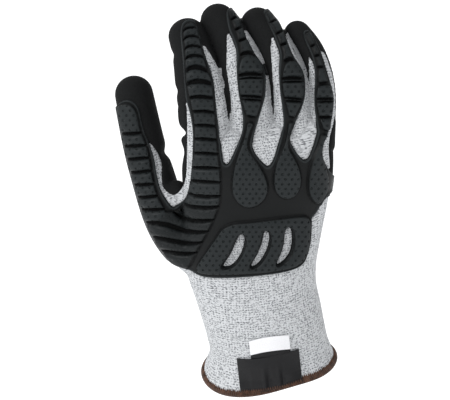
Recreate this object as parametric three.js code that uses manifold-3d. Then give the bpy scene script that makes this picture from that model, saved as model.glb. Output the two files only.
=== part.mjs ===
// Right-hand impact glove, held in the shape of the hand that wears it.
// Millimetres. The origin is the centre of the cuff's mouth, +Z runs up the glove to the fingers,
// -Y is the back of the hand and +X is the little finger's side.
import * as THREE from 'three';
import { mergeVertices } from 'three/addons/utils/BufferGeometryUtils.js';
import Module from 'manifold-3d';

const wasm = await Module();
wasm.setup();

// Cuff and hand
const mouthWidth = 88;
const mouthDepth = 77;
const cuffHeight = 66;
const palmHeight = 116;
const palmWidth = 100;
const palmDepth = 36;

// Layers of the glove
const knitWall = 1.5;
const coatThickness = 1.0;
const clearance = 0.3;
const guardWeb = 1.4;
const ribRise = 1.5;
const padRise = 2.5;
const lipWidth = 1.4;
const grooveWidth = 1.5;

// Hem and labels
const hemHeight = 5.5;
const hemThickness = 1.4;
const labelThickness = 0.8;
const labelWidth = 41.5;
const labelHeight = 18.5;
const tabWidth = 27;
const tabHeight = 10.2;
const tabGap = 1.8;
const labelMiddle = -0.8;
const tabMiddle = 1.4;

// The stalls open out of the hand at these heights: above its top, and up from the cuff
const fingerCut = 9;
const thumbCut = 64;
// The coating starts this far above the cuff
const coatStart = 4;

// The guard is drawn as it is seen from this angle above the back of the hand
const guardView = THREE.MathUtils.degToRad(27);

// Stalls: root is where the bone line starts, across and deep as shares of the palm's width and
// depth and up as a share of its height above the cuff. Each bone has its length and the angles,
// in degrees, that it bends towards the palm and sways towards the little finger. Width, as shares
// of the palm's width, and depth are given at the root, the middle and the tip.
const stalls = {
  index: {
    root: { across: -0.233, deep: -0.097, up: 0.793 },
    bones: [
      { length: 44, bend: 11, sway: -2 },
      { length: 26, bend: 27, sway: -5 },
      { length: 23.8, bend: 43, sway: -12 },
    ],
    width: [0.3, 0.31, 0.205],
    depth: [27, 25, 21],
  },
  middle: {
    root: { across: 0.05, deep: -0.069, up: 0.81 },
    bones: [
      { length: 46, bend: 12, sway: 0 },
      { length: 27.5, bend: 30, sway: -14 },
      { length: 27.5, bend: 46, sway: -25 },
    ],
    width: [0.285, 0.265, 0.195],
    depth: [27, 25, 20],
  },
  ring: {
    root: { across: 0.31, deep: -0.056, up: 0.793 },
    bones: [
      { length: 45, bend: 13, sway: 0 },
      { length: 26.5, bend: 31, sway: -16 },
      { length: 26, bend: 47, sway: -27 },
    ],
    width: [0.255, 0.23, 0.195],
    depth: [26, 24, 19],
  },
  little: {
    root: { across: 0.475, deep: -0.028, up: 0.776 },
    bones: [
      { length: 41, bend: 15, sway: 7.5 },
      { length: 22, bend: 33, sway: -10 },
      { length: 24, bend: 48, sway: -28 },
    ],
    width: [0.195, 0.175, 0.155],
    depth: [21, 19.5, 16],
  },
  thumb: {
    root: { across: -0.2, deep: 0.139, up: 0 },
    bones: [
      { length: 45.5, bend: 10, sway: -42.5 },
      { length: 46.5, bend: 20, sway: -15 },
      { length: 61, bend: 20, sway: -6.5 },
    ],
    width: [0.31, 0.265, 0.23],
    depth: [42, 31, 22],
  },
};
const thumbWeb = {
  root: { across: -0.34, deep: 0.139, up: 0.138 },
  bones: [
    { length: 20, bend: 12, sway: -28 },
    { length: 10, bend: 14, sway: -26 },
  ],
  width: [0.34, 0.26, 0.2],
  depth: [30, 22, 16],
};

// Cuff sections: up is a share of the cuff's height, left and right are shares of the mouth's width,
// back and palm are shares of the mouth's depth
const cuffSections = [
  { up: -0.15, left: 0.5, right: 0.5, back: 0.5, palm: 0.5 },
  { up: 0, left: 0.5, right: 0.5, back: 0.5, palm: 0.5 },
  { up: 0.11, left: 0.468, right: 0.478, back: 0.463, palm: 0.463 },
  { up: 0.22, left: 0.434, right: 0.457, back: 0.43, palm: 0.43 },
  { up: 0.4, left: 0.441, right: 0.443, back: 0.41, palm: 0.405 },
  { up: 0.64, left: 0.468, right: 0.43, back: 0.396, palm: 0.4 },
  { up: 0.88, left: 0.5, right: 0.414, back: 0.377, palm: 0.4 },
];

// Palm sections: up is a share of the palm's height, left and right of its width, back and palm
// of its depth, and crown is how far the section moves outwards with a thicker layer at the top
const palmSections = [
  { up: 0.04, left: 0.465, right: 0.375, back: 0.76, palm: 0.83, crown: 0 },
  { up: 0.22, left: 0.46, right: 0.426, back: 0.68, palm: 0.78, crown: 0 },
  { up: 0.41, left: 0.445, right: 0.488, back: 0.61, palm: 0.68, crown: 0 },
  { up: 0.6, left: 0.43, right: 0.54, back: 0.57, palm: 0.57, crown: 0 },
  { up: 0.82, left: 0.412, right: 0.56, back: 0.51, palm: 0.42, crown: 0.1 },
  { up: 0.94, left: 0.395, right: 0.555, back: 0.35, palm: 0.36, crown: 0.5 },
  { up: 1, left: 0.3, right: 0.5, back: 0.06, palm: 0.15, crown: 1 },
];
const palmRoundness = 2.25;

// How finely the skins are divided
const palmSides = 18;
const stallSides = 10;
const stallStations = 3;
// Where the rings of a stall's dome lie, as shares of a quarter turn
const domeTurns = [0.38, 0.72];
const padSides = 10;
const wedgeSteps = 3;
const wedgeArc = 5;
const backSpan = THREE.MathUtils.degToRad(210);
// Corners closer than this are the same corner
const sameCorner = 1e-4;

// Guard strips on the stalls. at is the share of the bone line's length where a rib ends, from
// the tip down, side is where the strip's middle lies and half is its half width there, both as
// shares of the stall's half width, and rise names the relief between this end and the next.
const strips = {
  index: [
    { at: 0.955, side: 0.22, half: 0.32, rise: ribRise },
    { at: 0.87, side: 0.24, half: 0.5, rise: ribRise },
    { at: 0.815, side: 0.18, half: 0.6, rise: ribRise },
    { at: 0.748, side: 0.14, half: 0.68, rise: ribRise },
    { at: 0.642, side: 0.06, half: 0.7, rise: ribRise },
    { at: 0.547, side: 0.0, half: 0.68, rise: ribRise },
    { at: 0.445, side: 0.0, half: 0.63, rise: ribRise },
    { at: 0.345, side: -0.02, half: 0.6, rise: ribRise },
    { at: 0.242, side: -0.03, half: 0.58, rise: ribRise },
    { at: 0.142, side: -0.06, half: 0.58, rise: ribRise },
    { at: 0.03, side: -0.08, half: 0.6, rise: ribRise },
  ],
  middle: [
    { at: 0.93, side: 0.72, half: 0.3, rise: ribRise },
    { at: 0.845, side: 0.66, half: 0.42, rise: ribRise },
    { at: 0.787, side: 0.54, half: 0.5, rise: ribRise },
    { at: 0.723, side: 0.44, half: 0.55, rise: ribRise },
    { at: 0.625, side: 0.42, half: 0.53, rise: padRise },
    { at: 0.5, side: 0.32, half: 0.7, rise: padRise },
    { at: 0.357, side: 0.12, half: 0.66, rise: padRise },
    { at: 0.22, side: 0.0, half: 0.38, rise: ribRise },
    { at: 0.03, side: -0.2, half: 0.22, rise: ribRise },
  ],
  ring: [
    { at: 0.92, side: 0.55, half: 0.32, rise: ribRise },
    { at: 0.853, side: 0.54, half: 0.42, rise: ribRise },
    { at: 0.765, side: 0.48, half: 0.48, rise: ribRise },
    { at: 0.69, side: 0.38, half: 0.5, rise: ribRise },
    { at: 0.593, side: 0.33, half: 0.48, rise: padRise },
    { at: 0.468, side: 0.25, half: 0.66, rise: padRise },
    { at: 0.343, side: 0.08, half: 0.56, rise: padRise },
    { at: 0.225, side: 0.02, half: 0.33, rise: ribRise },
    { at: 0.04, side: -0.12, half: 0.22, rise: ribRise },
  ],
  little: [
    { at: 0.9, side: 0.45, half: 0.34, rise: ribRise },
    { at: 0.777, side: 0.34, half: 0.42, rise: ribRise },
    { at: 0.7, side: 0.3, half: 0.46, rise: ribRise },
    { at: 0.608, side: 0.3, half: 0.48, rise: padRise },
    { at: 0.492, side: 0.26, half: 0.5, rise: padRise },
    { at: 0.378, side: 0.2, half: 0.66, rise: padRise },
    { at: 0.245, side: 0.14, half: 0.55, rise: padRise },
    { at: 0.14, side: 0.12, half: 0.32, rise: ribRise },
    { at: 0.0, side: -0.05, half: 0.2, rise: ribRise },
  ],
  thumb: [
    { at: 0.905, side: -0.35, half: 0.4, rise: padRise },
    { at: 0.775, side: -0.3, half: 0.62, rise: ribRise },
    { at: 0.72, side: -0.26, half: 0.62, rise: ribRise },
    { at: 0.662, side: -0.28, half: 0.6, rise: ribRise },
    { at: 0.608, side: -0.3, half: 0.58, rise: ribRise },
    { at: 0.547, side: -0.3, half: 0.55, rise: ribRise },
    { at: 0.495, side: -0.3, half: 0.52, rise: ribRise },
    { at: 0.44, side: -0.32, half: 0.56, rise: ribRise },
    { at: 0.395, side: -0.32, half: 0.6, rise: ribRise },
  ],
};

// Outlines on the back of the hand: [across, up], across is a share of the palm's width and
// up a share of the palm's height, both on the plane that the guard is drawn on
const webOutline = [
  [-0.7, 0.38], [-0.67, 0.23], [-0.6, 0.13], [-0.52, 0.05], [-0.475, 0.04], [-0.42, 0.0], [-0.38, -0.02],
  [-0.23, -0.04], [0.05, -0.055], [0.22, -0.05], [0.3, -0.01], [0.345, 0.11], [0.375, 0.24], [0.37, 0.335],
  [0.42, 0.36], [0.5, 0.44], [0.54, 0.56], [0.54, 0.68], [0.36, 0.7], [0.34, 0.66], [0.18, 0.67],
  [0.12, 0.66], [-0.12, 0.72], [-0.2, 0.74], [-0.2, 0.86], [-0.41, 0.86], [-0.43, 0.6], [-0.525, 0.5],
  [-0.565, 0.53], [-0.6, 0.6], [-0.64, 0.8], [-0.76, 0.62],
];
const sideRibs = [
  [[-0.5, 0.5], [-0.3, 0.47], [-0.29, 0.41], [-0.52, 0.455]],
  [
    [-0.74, 0.525], [-0.62, 0.49], [-0.5, 0.44], [-0.33, 0.385],
    [-0.36, 0.325], [-0.48, 0.345], [-0.6, 0.41], [-0.72, 0.45],
  ],
  [
    [-0.725, 0.43], [-0.6, 0.385], [-0.48, 0.325], [-0.36, 0.3],
    [-0.4, 0.245], [-0.56, 0.285], [-0.69, 0.345],
  ],
  [[-0.685, 0.32], [-0.56, 0.265], [-0.41, 0.22], [-0.435, 0.18], [-0.55, 0.205], [-0.65, 0.25]],
  [[-0.62, 0.22], [-0.52, 0.185], [-0.44, 0.155], [-0.44, 0.075], [-0.505, 0.1], [-0.56, 0.15]],
];
const indexRibs = [
  { up: 0.775, left: -0.405, right: -0.225 }, { up: 0.69, left: -0.42, right: -0.215 },
  { up: 0.6, left: -0.435, right: -0.21 }, { up: 0.52, left: -0.45, right: -0.235 },
];
const indexRibHeight = 0.075;
const plateOutline = [
  [-0.235, 0.3], [0.28, 0.31], [0.33, 0.27], [0.34, 0.18], [0.31, 0.06], [0.26, -0.005], [0.16, -0.035],
  [-0.08, -0.035], [-0.34, 0.0], [-0.375, 0.05], [-0.3, 0.2],
];
const plateSlots = [
  [[-0.16, 0.235], [-0.12, 0.235], [-0.145, 0.13], [-0.245, 0.04], [-0.285, 0.06], [-0.22, 0.145]],
  [[0.015, 0.24], [0.055, 0.24], [0.045, 0.14], [-0.07, 0.02], [-0.085, 0.045], [-0.01, 0.13]],
  [[0.16, 0.245], [0.2, 0.245], [0.195, 0.14], [0.085, 0.02], [0.1, 0.05], [0.155, 0.14]],
];
// Knuckle pads, in the same shares: across where it is widest, lean is how far the top end lies
// towards the little finger of the bottom end, top, wide and bottom are its heights
const knucklePads = [
  { across: -0.005, lean: 0.045, half: 0.125, top: 0.86, wide: 0.61, bottom: 0.435 },
  { across: 0.262, lean: 0.07, half: 0.098, top: 0.84, wide: 0.585, bottom: 0.45 },
  { across: 0.455, lean: 0.09, half: 0.075, top: 0.82, wide: 0.53, bottom: 0.4 },
];

// How far round each stall the coating reaches, in degrees, how far that is turned towards the
// thumb, and the share of the line beyond which the whole tip is coated
const coats = {
  index: { turn: 28, span: 225, tip: 0.86 },
  middle: { turn: 12, span: 195, tip: 0.84 },
  ring: { turn: 12, span: 195, tip: 0.84 },
  little: { turn: 8, span: 190, tip: 0.84 },
  thumb: { turn: -30, span: 225, tip: 0.9 },
};
// The coating's edge on the hand, as a share of the palm's depth, and on the ball of the thumb, as a
// share of the palm's width and height
const coatedHalf = 0.08;
const coatedBall = 0.4;
// The thumb's stall starts this far out, as a share of the palm's width
const thumbSide = 0.46;

const materials = {
  knit: new THREE.MeshStandardMaterial({ color: 0xcfd0d2, roughness: 0.95, metalness: 0 }),
  coating: new THREE.MeshStandardMaterial({ color: 0x1e1e20, roughness: 0.85, metalness: 0 }),
  guard: new THREE.MeshStandardMaterial({ color: 0x2b2e31, roughness: 0.5, metalness: 0 }),
  hem: new THREE.MeshStandardMaterial({ color: 0x5a3e2f, roughness: 0.9, metalness: 0 }),
  label: new THREE.MeshStandardMaterial({ color: 0x17171a, roughness: 0.8, metalness: 0 }),
  tab: new THREE.MeshStandardMaterial({ color: 0xf0f0f2, roughness: 0.8, metalness: 0 }),
};

const cuffTop = cuffHeight;
const webTop = cuffHeight + palmHeight;
const guardBase = clearance + guardWeb;
const reach = 2 * (webTop + palmWidth);
const viewUp = new THREE.Vector3(0, Math.sin(guardView), Math.cos(guardView));
const viewOut = new THREE.Vector3(0, -Math.cos(guardView), Math.sin(guardView));

// A closed geometry as a solid that can be joined and cut
function solidOf(geometry) {
  const bare = geometry.clone();
  bare.deleteAttribute('normal');
  bare.deleteAttribute('uv');
  const merged = mergeVertices(bare, sameCorner);
  const vertProperties = new Float32Array(merged.attributes.position.array);
  const triVerts = new Uint32Array(merged.index.array);
  return new wasm.Manifold(new wasm.Mesh({ numProp: 3, vertProperties, triVerts }));
}

function joined(solids) {
  return solids.reduce((whole, next) => whole.add(next));
}

// A solid skinned over rings of points, closed by a point at each end
function loft(rings, startPoint, endPoint) {
  const sides = rings[0].length;
  const points = [...rings.flat(), startPoint, endPoint];
  const start = points.length - 2;
  const end = points.length - 1;
  const lastRing = (rings.length - 1) * sides;
  const index = [];
  for (let side = 0; side < sides; side += 1) {
    const next = (side + 1) % sides;
    for (let row = 0; row < lastRing; row += sides) {
      index.push(row + side, row + next, row + sides + next);
      index.push(row + side, row + sides + next, row + sides + side);
    }
    index.push(start, next, side);
    index.push(end, lastRing + side, lastRing + next);
  }
  const geometry = new THREE.BufferGeometry().setFromPoints(points);
  geometry.setIndex(index);
  return solidOf(geometry);
}

function middleOf(ring) {
  const sum = ring.reduce((total, point) => total.add(point), new THREE.Vector3());
  return sum.divideScalar(ring.length);
}

// One section of the cuff or the palm, grown outwards by a layer
function handRing(section, grow) {
  const ring = [];
  for (let side = 0; side < palmSides; side += 1) {
    const angle = (2 * Math.PI * side) / palmSides;
    const across = Math.cos(angle);
    const deep = Math.sin(angle);
    const halfWidth = (across < 0 ? section.left : section.right) + grow;
    const halfDepth = (deep < 0 ? section.back : section.palm) + grow;
    const x = Math.sign(across) * halfWidth * Math.abs(across) ** (2 / section.power);
    const y = Math.sign(deep) * halfDepth * Math.abs(deep) ** (2 / section.power);
    ring.push(new THREE.Vector3(x, y, section.z + section.crown * grow));
  }
  return ring;
}

function sized(section, base, height, width, depth, power) {
  return {
    z: base + section.up * height,
    left: section.left * width,
    right: section.right * width,
    back: section.back * depth,
    palm: section.palm * depth,
    crown: section.crown ?? 0,
    power,
  };
}

function handBody(grow) {
  const cuff = cuffSections.map((row) => sized(row, 0, cuffHeight, mouthWidth, mouthDepth, 2));
  const palm = palmSections.map((row) => (
    sized(row, cuffTop, palmHeight, palmWidth, palmDepth, palmRoundness)
  ));
  const rings = [...cuff, ...palm].map((section) => handRing(section, grow));
  return loft(rings, middleOf(rings[0]), middleOf(rings.at(-1)));
}

// The line that a stall follows from its root to its tip
function boneLine(stall) {
  const { across, deep, up } = stall.root;
  const point = new THREE.Vector3(across * palmWidth, deep * palmDepth, cuffTop + up * palmHeight);
  const points = [point.clone()];
  for (const bone of stall.bones) {
    const bend = THREE.MathUtils.degToRad(bone.bend);
    const sway = THREE.MathUtils.degToRad(bone.sway);
    const direction = new THREE.Vector3(
      Math.sin(sway),
      Math.sin(bend) * Math.cos(sway),
      Math.cos(bend) * Math.cos(sway),
    );
    point.addScaledVector(direction, bone.length);
    points.push(point.clone());
  }
  return new THREE.CatmullRomCurve3(points, false, 'centripetal');
}

// Where the line is at a share of its length, with the directions across and towards the palm
function frameAt(line, at) {
  const tangent = line.getTangentAt(at);
  const palmwards = new THREE.Vector3(0, 1, 0);
  palmwards.addScaledVector(tangent, -palmwards.dot(tangent)).normalize();
  const across = new THREE.Vector3().crossVectors(palmwards, tangent);
  return { point: line.getPointAt(at), tangent, palmwards, across };
}

// A width or depth between the three that a stall states
function between(values, at) {
  const place = Math.min(Math.max(at, 0), 1) * (values.length - 1);
  const low = Math.min(Math.floor(place), values.length - 2);
  return THREE.MathUtils.lerp(values[low], values[low + 1], place - low);
}

function widthAt(stall, at) {
  return between(stall.width, at) * palmWidth;
}

function ellipseRing(frame, halfWidth, halfDepth, fromAngle = 0, span = 2 * Math.PI, sides = stallSides) {
  const ring = [];
  for (let side = 0; side < sides; side += 1) {
    const angle = fromAngle + (span * side) / sides;
    ring.push(frame.point.clone()
      .addScaledVector(frame.across, Math.cos(angle) * halfWidth)
      .addScaledVector(frame.palmwards, Math.sin(angle) * halfDepth));
  }
  return ring;
}

// A stall from a share of its line to its rounded tip, grown outwards by a layer
function stallBody(stall, grow, from = 0) {
  const line = boneLine(stall);
  const length = line.getLength();
  const tipRadius = widthAt(stall, 1) / 2;
  const dome = 1 - tipRadius / length;
  const rings = [];
  for (let station = 0; station <= stallStations; station += 1) {
    const at = from + ((dome - from) * station) / stallStations;
    const halfWidth = widthAt(stall, at) / 2 + grow;
    const halfDepth = between(stall.depth, at) / 2 + grow;
    rings.push(ellipseRing(frameAt(line, at), halfWidth, halfDepth));
  }
  const domeFrame = frameAt(line, dome);
  const endWidth = widthAt(stall, dome) / 2 + grow;
  const endDepth = between(stall.depth, dome) / 2 + grow;
  const rise = tipRadius + grow;
  for (const turn of domeTurns) {
    const angle = (turn * Math.PI) / 2;
    const point = domeFrame.point.clone().addScaledVector(domeFrame.tangent, rise * Math.sin(angle));
    const frame = { ...domeFrame, point };
    rings.push(ellipseRing(frame, endWidth * Math.cos(angle), endDepth * Math.cos(angle)));
  }
  const tip = domeFrame.point.clone().addScaledVector(domeFrame.tangent, rise);
  return loft(rings, middleOf(rings[0]), tip);
}

// The whole glove's outer shape, grown outwards by a layer
const layers = new Map();
function gloveBody(grow) {
  if (!layers.has(grow)) {
    const parts = [handBody(grow), stallBody(thumbWeb, grow)];
    for (const stall of Object.values(stalls)) {
      parts.push(stallBody(stall, grow));
    }
    layers.set(grow, joined(parts));
  }
  return layers.get(grow);
}

function block(low, high) {
  const size = new THREE.Vector3().subVectors(high, low);
  const box = new THREE.BoxGeometry(size.x, size.y, size.z);
  const middle = new THREE.Vector3().addVectors(low, high).multiplyScalar(0.5);
  box.translate(middle.x, middle.y, middle.z);
  return solidOf(box);
}

function slab(bottom, top) {
  return block(new THREE.Vector3(-reach, -reach, bottom), new THREE.Vector3(reach, reach, top));
}

// An outline on the guard's plane, extruded outwards from a depth
function drawn(points, depth) {
  const shape = new THREE.Shape(points.map(([x, up]) => new THREE.Vector2(x, up)));
  const prism = new THREE.ExtrudeGeometry(shape, { depth: reach, bevelEnabled: false });
  const basis = new THREE.Matrix4().makeBasis(new THREE.Vector3(1, 0, 0), viewUp, viewOut);
  prism.applyMatrix4(basis);
  prism.translate(viewOut.x * depth, viewOut.y * depth, viewOut.z * depth);
  return solidOf(prism);
}

// A point of the hand's back, from shares of the palm to the guard's plane
function onBack([across, up]) {
  return [across * palmWidth, (cuffTop + up * palmHeight) * Math.cos(guardView)];
}

// The two edges of a strip at one of its ends, on the guard's plane, moved along the stall
function stripEdges(stall, line, end, along, margin) {
  const at = THREE.MathUtils.clamp(end.at + along / line.getLength(), 0, 1);
  const halfWidth = widthAt(stall, at) / 2;
  const point = line.getPointAt(at);
  const tangent = line.getTangentAt(at);
  const rising = new THREE.Vector2(tangent.x, tangent.dot(viewUp)).normalize();
  const middle = end.side * halfWidth;
  const half = end.half * halfWidth + margin;
  return [middle - half, middle + half].map((offset) => (
    [point.x + rising.y * offset, point.dot(viewUp) - rising.x * offset]
  ));
}

function stripRibs(name) {
  const stall = stalls[name];
  const line = boneLine(stall);
  const ribs = [];
  for (let row = 0; row + 1 < strips[name].length; row += 1) {
    const upper = strips[name][row];
    const lower = strips[name][row + 1];
    const [upperLeft, upperRight] = stripEdges(stall, line, upper, -grooveWidth / 2, 0);
    const [lowerLeft, lowerRight] = stripEdges(stall, line, lower, grooveWidth / 2, 0);
    const outline = [lowerLeft, lowerRight, upperRight, upperLeft];
    const depths = [upper.at, lower.at].map((at) => line.getPointAt(at).dot(viewOut));
    ribs.push({ prism: drawn(outline, Math.max(...depths)), rise: upper.rise });
  }
  return ribs;
}

// A stall's back, as a wedge that opens away from the palm, from its root past its tip
function stallWedge(stall, turn, span) {
  const line = boneLine(stall);
  const from = turn - span / 2;
  const rings = [];
  for (let step = 0; step <= wedgeSteps; step += 1) {
    const at = step / wedgeSteps;
    const far = widthAt(stall, at);
    const frame = frameAt(line, at);
    const arc = ellipseRing(frame, far, far, from, (span * wedgeArc) / (wedgeArc - 1), wedgeArc);
    rings.push([...arc, frame.point]);
  }
  const beyond = line.getTangentAt(1).multiplyScalar(widthAt(stall, 1));
  rings.push(rings.at(-1).map((point) => point.clone().add(beyond)));
  return loft(rings, rings[0].at(-1), rings.at(-1).at(-1));
}

// The whole strip on a stall, from just past its top rib down onto the hand
function stripWeb(name, margin) {
  const stall = stalls[name];
  const line = boneLine(stall);
  const last = strips[name].length - 1;
  const edges = strips[name].map((end, row) => {
    const along = { 0: lipWidth + margin, [last]: -lipWidth - margin }[row] ?? 0;
    return stripEdges(stall, line, end, along, lipWidth + margin);
  });
  const outline = [...edges.map(([left]) => left), ...edges.map(([, right]) => right).reverse()];
  return drawn(outline, 0).intersect(stallWedge(stall, -Math.PI / 2, backSpan));
}

// The back of the hand, without the palm's side
function backHalf() {
  const hand = block(new THREE.Vector3(-reach, -reach, -reach), new THREE.Vector3(reach, 0, reach));
  const ball = block(
    new THREE.Vector3(-reach, -reach, -reach),
    new THREE.Vector3(-coatedBall * palmWidth, stalls.thumb.depth.at(-1) / 2, reach),
  );
  return hand.add(ball);
}

function knuckleOutline(pad, margin) {
  const points = [];
  for (let side = 0; side < padSides; side += 1) {
    const angle = (2 * Math.PI * side) / padSides;
    const height = Math.sin(angle) * (Math.sin(angle) > 0 ? pad.top - pad.wide : pad.wide - pad.bottom);
    const leaning = (pad.lean * height) / (pad.top - pad.bottom);
    const [x, up] = onBack([pad.across + leaning + pad.half * Math.cos(angle), pad.wide + height]);
    points.push([x + margin * Math.cos(angle), up + margin * Math.sin(angle)]);
  }
  return points;
}

function indexRibOutline(rib) {
  const low = rib.up - indexRibHeight;
  return [[rib.left, low], [rib.right, low], [rib.right, rib.up], [rib.left, rib.up]].map(onBack);
}

// Everything that the guard covers, grown sideways by a margin
function guardFootprint(margin) {
  const knuckles = knucklePads.map((pad) => drawn(knuckleOutline(pad, lipWidth + margin), 0));
  const onHand = joined([drawn(webOutline.map(onBack), 0), ...knuckles]).intersect(backHalf());
  return joined([onHand, ...Object.keys(strips).map((name) => stripWeb(name, margin))]);
}

// Ribs and pads grow out of the middle of the web
function relief(prisms, rise) {
  return joined(prisms).intersect(gloveBody(guardBase + rise)).subtract(gloveBody(clearance + guardWeb / 2));
}

function backGuard() {
  const footprint = guardFootprint(0);
  const slots = joined(plateSlots.map((slot) => drawn(slot.map(onBack), 0))).intersect(backHalf());
  const web = footprint.intersect(gloveBody(guardBase)).subtract(gloveBody(clearance));
  const onStalls = Object.keys(strips).flatMap(stripRibs);
  const lowOnStalls = onStalls.filter((rib) => rib.rise === ribRise).map((rib) => rib.prism);
  const highOnStalls = onStalls.filter((rib) => rib.rise !== ribRise).map((rib) => rib.prism);
  const handRibs = [...sideRibs.map((rib) => rib.map(onBack)), ...indexRibs.map(indexRibOutline)];
  const lowOnHand = joined(handRibs.map((rib) => drawn(rib, 0))).intersect(backHalf());
  const knuckles = knucklePads.map((pad) => drawn(knuckleOutline(pad, 0), 0));
  const highOnHand = joined([drawn(plateOutline.map(onBack), 0), ...knuckles]).intersect(backHalf());
  const low = relief([...lowOnStalls, lowOnHand], ribRise);
  const high = relief([...highOnStalls, highOnHand], padRise);
  return joined([web, low.add(high).intersect(footprint)]).subtract(slots);
}

// The part of a stall that the palm's coating wraps: its palm side, turned towards the thumb by
// an angle, and all of its tip
function coatedStall(stall, coat) {
  const turn = Math.PI / 2 + THREE.MathUtils.degToRad(coat.turn);
  const side = stallWedge(stall, turn, THREE.MathUtils.degToRad(coat.span));
  return side.add(stallBody(stall, guardBase + padRise, coat.tip));
}

function coatedPalm() {
  const bottom = cuffTop + coatStart;
  const top = webTop + fingerCut;
  const palmSide = block(
    new THREE.Vector3(-palmWidth, coatedHalf * palmDepth, bottom),
    new THREE.Vector3(palmWidth, palmWidth, top),
  );
  const ballOfThumb = block(
    new THREE.Vector3(-palmWidth, -palmDepth / 2, bottom),
    new THREE.Vector3(-coatedBall * palmWidth, palmWidth, cuffTop + coatedBall * palmHeight),
  );
  return palmSide.add(ballOfThumb);
}

function palmCoating() {
  const skin = gloveBody(clearance + coatThickness).subtract(gloveBody(clearance));
  const wrapped = Object.entries(coats).map(([name, coat]) => coatedStall(stalls[name], coat));
  return skin.intersect(joined([coatedPalm(), ...wrapped])).subtract(guardFootprint(clearance));
}

// The overlocked band folds over the knit's edge
function cuffHem() {
  const inside = -knitWall - clearance;
  const band = handBody(clearance + hemThickness).subtract(handBody(inside - hemThickness));
  const room = handBody(clearance).subtract(handBody(inside));
  const groove = room.intersect(slab(hemThickness - clearance, cuffHeight));
  return band.intersect(slab(0, hemHeight)).subtract(groove);
}

// A label that lies on the back of the cuff: middle is its place across, and low is its lower edge
function cuffLabel(width, height, middle, low) {
  const front = block(
    new THREE.Vector3(middle - width / 2, -mouthDepth, low),
    new THREE.Vector3(middle + width / 2, 0, low + height),
  );
  return handBody(clearance + labelThickness).subtract(handBody(clearance)).intersect(front);
}

function stallKnit(stall, bottom) {
  const tube = stallBody(stall, 0).subtract(stallBody(stall, -knitWall));
  return tube.intersect(slab(bottom + clearance, reach));
}

function handKnit(shell) {
  const thumbStall = block(
    new THREE.Vector3(-reach, -reach, cuffTop + thumbCut),
    new THREE.Vector3(-thumbSide * palmWidth, reach, reach),
  );
  return shell.intersect(slab(cuffTop + clearance, webTop + fingerCut)).subtract(thumbStall);
}

// The triangles of the largest piece of a cut skin, without the crumbs that the cuts leave
function largestPiece(triangles) {
  const leader = new Map();
  const find = (point) => {
    let top = point;
    while (leader.has(top)) {
      top = leader.get(top);
    }
    return top;
  };
  for (let corner = 0; corner < triangles.length; corner += 3) {
    for (const other of [1, 2]) {
      const from = find(triangles[corner]);
      const to = find(triangles[corner + other]);
      if (from !== to) {
        leader.set(from, to);
      }
    }
  }
  const pieces = new Map();
  for (let corner = 0; corner < triangles.length; corner += 3) {
    const piece = find(triangles[corner]);
    pieces.set(piece, [...(pieces.get(piece) ?? []), ...triangles.subarray(corner, corner + 3)]);
  }
  return [...pieces.values()].sort((one, other) => other.length - one.length)[0];
}

const group = new THREE.Group();

function addMesh(name, solid, material) {
  const mesh = solid.getMesh();
  const geometry = new THREE.BufferGeometry();
  geometry.setAttribute('position', new THREE.BufferAttribute(new Float32Array(mesh.vertProperties), 3));
  geometry.setIndex(largestPiece(mesh.triVerts));
  geometry.computeVertexNormals();
  const part = new THREE.Mesh(geometry, material);
  part.name = name;
  group.add(part);
}

const shell = gloveBody(0).subtract(gloveBody(-knitWall));
addMesh('knit_cuff', shell.intersect(slab(hemThickness, cuffTop)), materials.knit);
addMesh('knit_hand', handKnit(shell), materials.knit);
for (const name of ['index', 'middle', 'ring', 'little']) {
  addMesh(`knit_${name}`, stallKnit(stalls[name], webTop + fingerCut), materials.knit);
}
addMesh('knit_thumb', stallKnit(stalls.thumb, cuffTop + thumbCut), materials.knit);
addMesh('palm_coating', palmCoating(), materials.coating);
addMesh('back_guard', backGuard(), materials.guard);
addMesh('cuff_hem', cuffHem(), materials.hem);
const labelLow = hemHeight + clearance;
const tabLow = labelLow + labelHeight + tabGap;
addMesh('label_patch', cuffLabel(labelWidth, labelHeight, labelMiddle, labelLow), materials.label);
addMesh('label_tab', cuffLabel(tabWidth, tabHeight, tabMiddle, tabLow), materials.tab);

export default group;
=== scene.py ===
"""Right-hand impact glove: a grey knit liner, a black sandy palm coating, a moulded guard on the
back, a brown overlocked hem and two bare labels. Lengths in the tables are millimetres."""
import math
from collections import namedtuple

import bpy
import numpy as np
from mathutils import Matrix, Vector
from mathutils.bvhtree import BVHTree


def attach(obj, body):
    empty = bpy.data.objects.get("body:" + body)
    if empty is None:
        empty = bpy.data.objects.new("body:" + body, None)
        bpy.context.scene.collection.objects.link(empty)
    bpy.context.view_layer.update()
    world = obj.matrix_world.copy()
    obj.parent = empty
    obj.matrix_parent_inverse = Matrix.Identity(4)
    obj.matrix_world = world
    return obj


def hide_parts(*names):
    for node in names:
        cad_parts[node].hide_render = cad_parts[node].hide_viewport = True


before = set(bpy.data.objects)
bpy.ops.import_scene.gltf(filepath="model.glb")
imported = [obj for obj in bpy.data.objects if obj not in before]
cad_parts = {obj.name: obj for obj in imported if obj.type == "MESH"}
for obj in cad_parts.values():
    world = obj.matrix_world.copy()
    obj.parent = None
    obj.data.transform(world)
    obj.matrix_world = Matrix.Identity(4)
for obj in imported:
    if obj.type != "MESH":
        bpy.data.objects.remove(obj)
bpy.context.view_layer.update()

MM = 0.001

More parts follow.
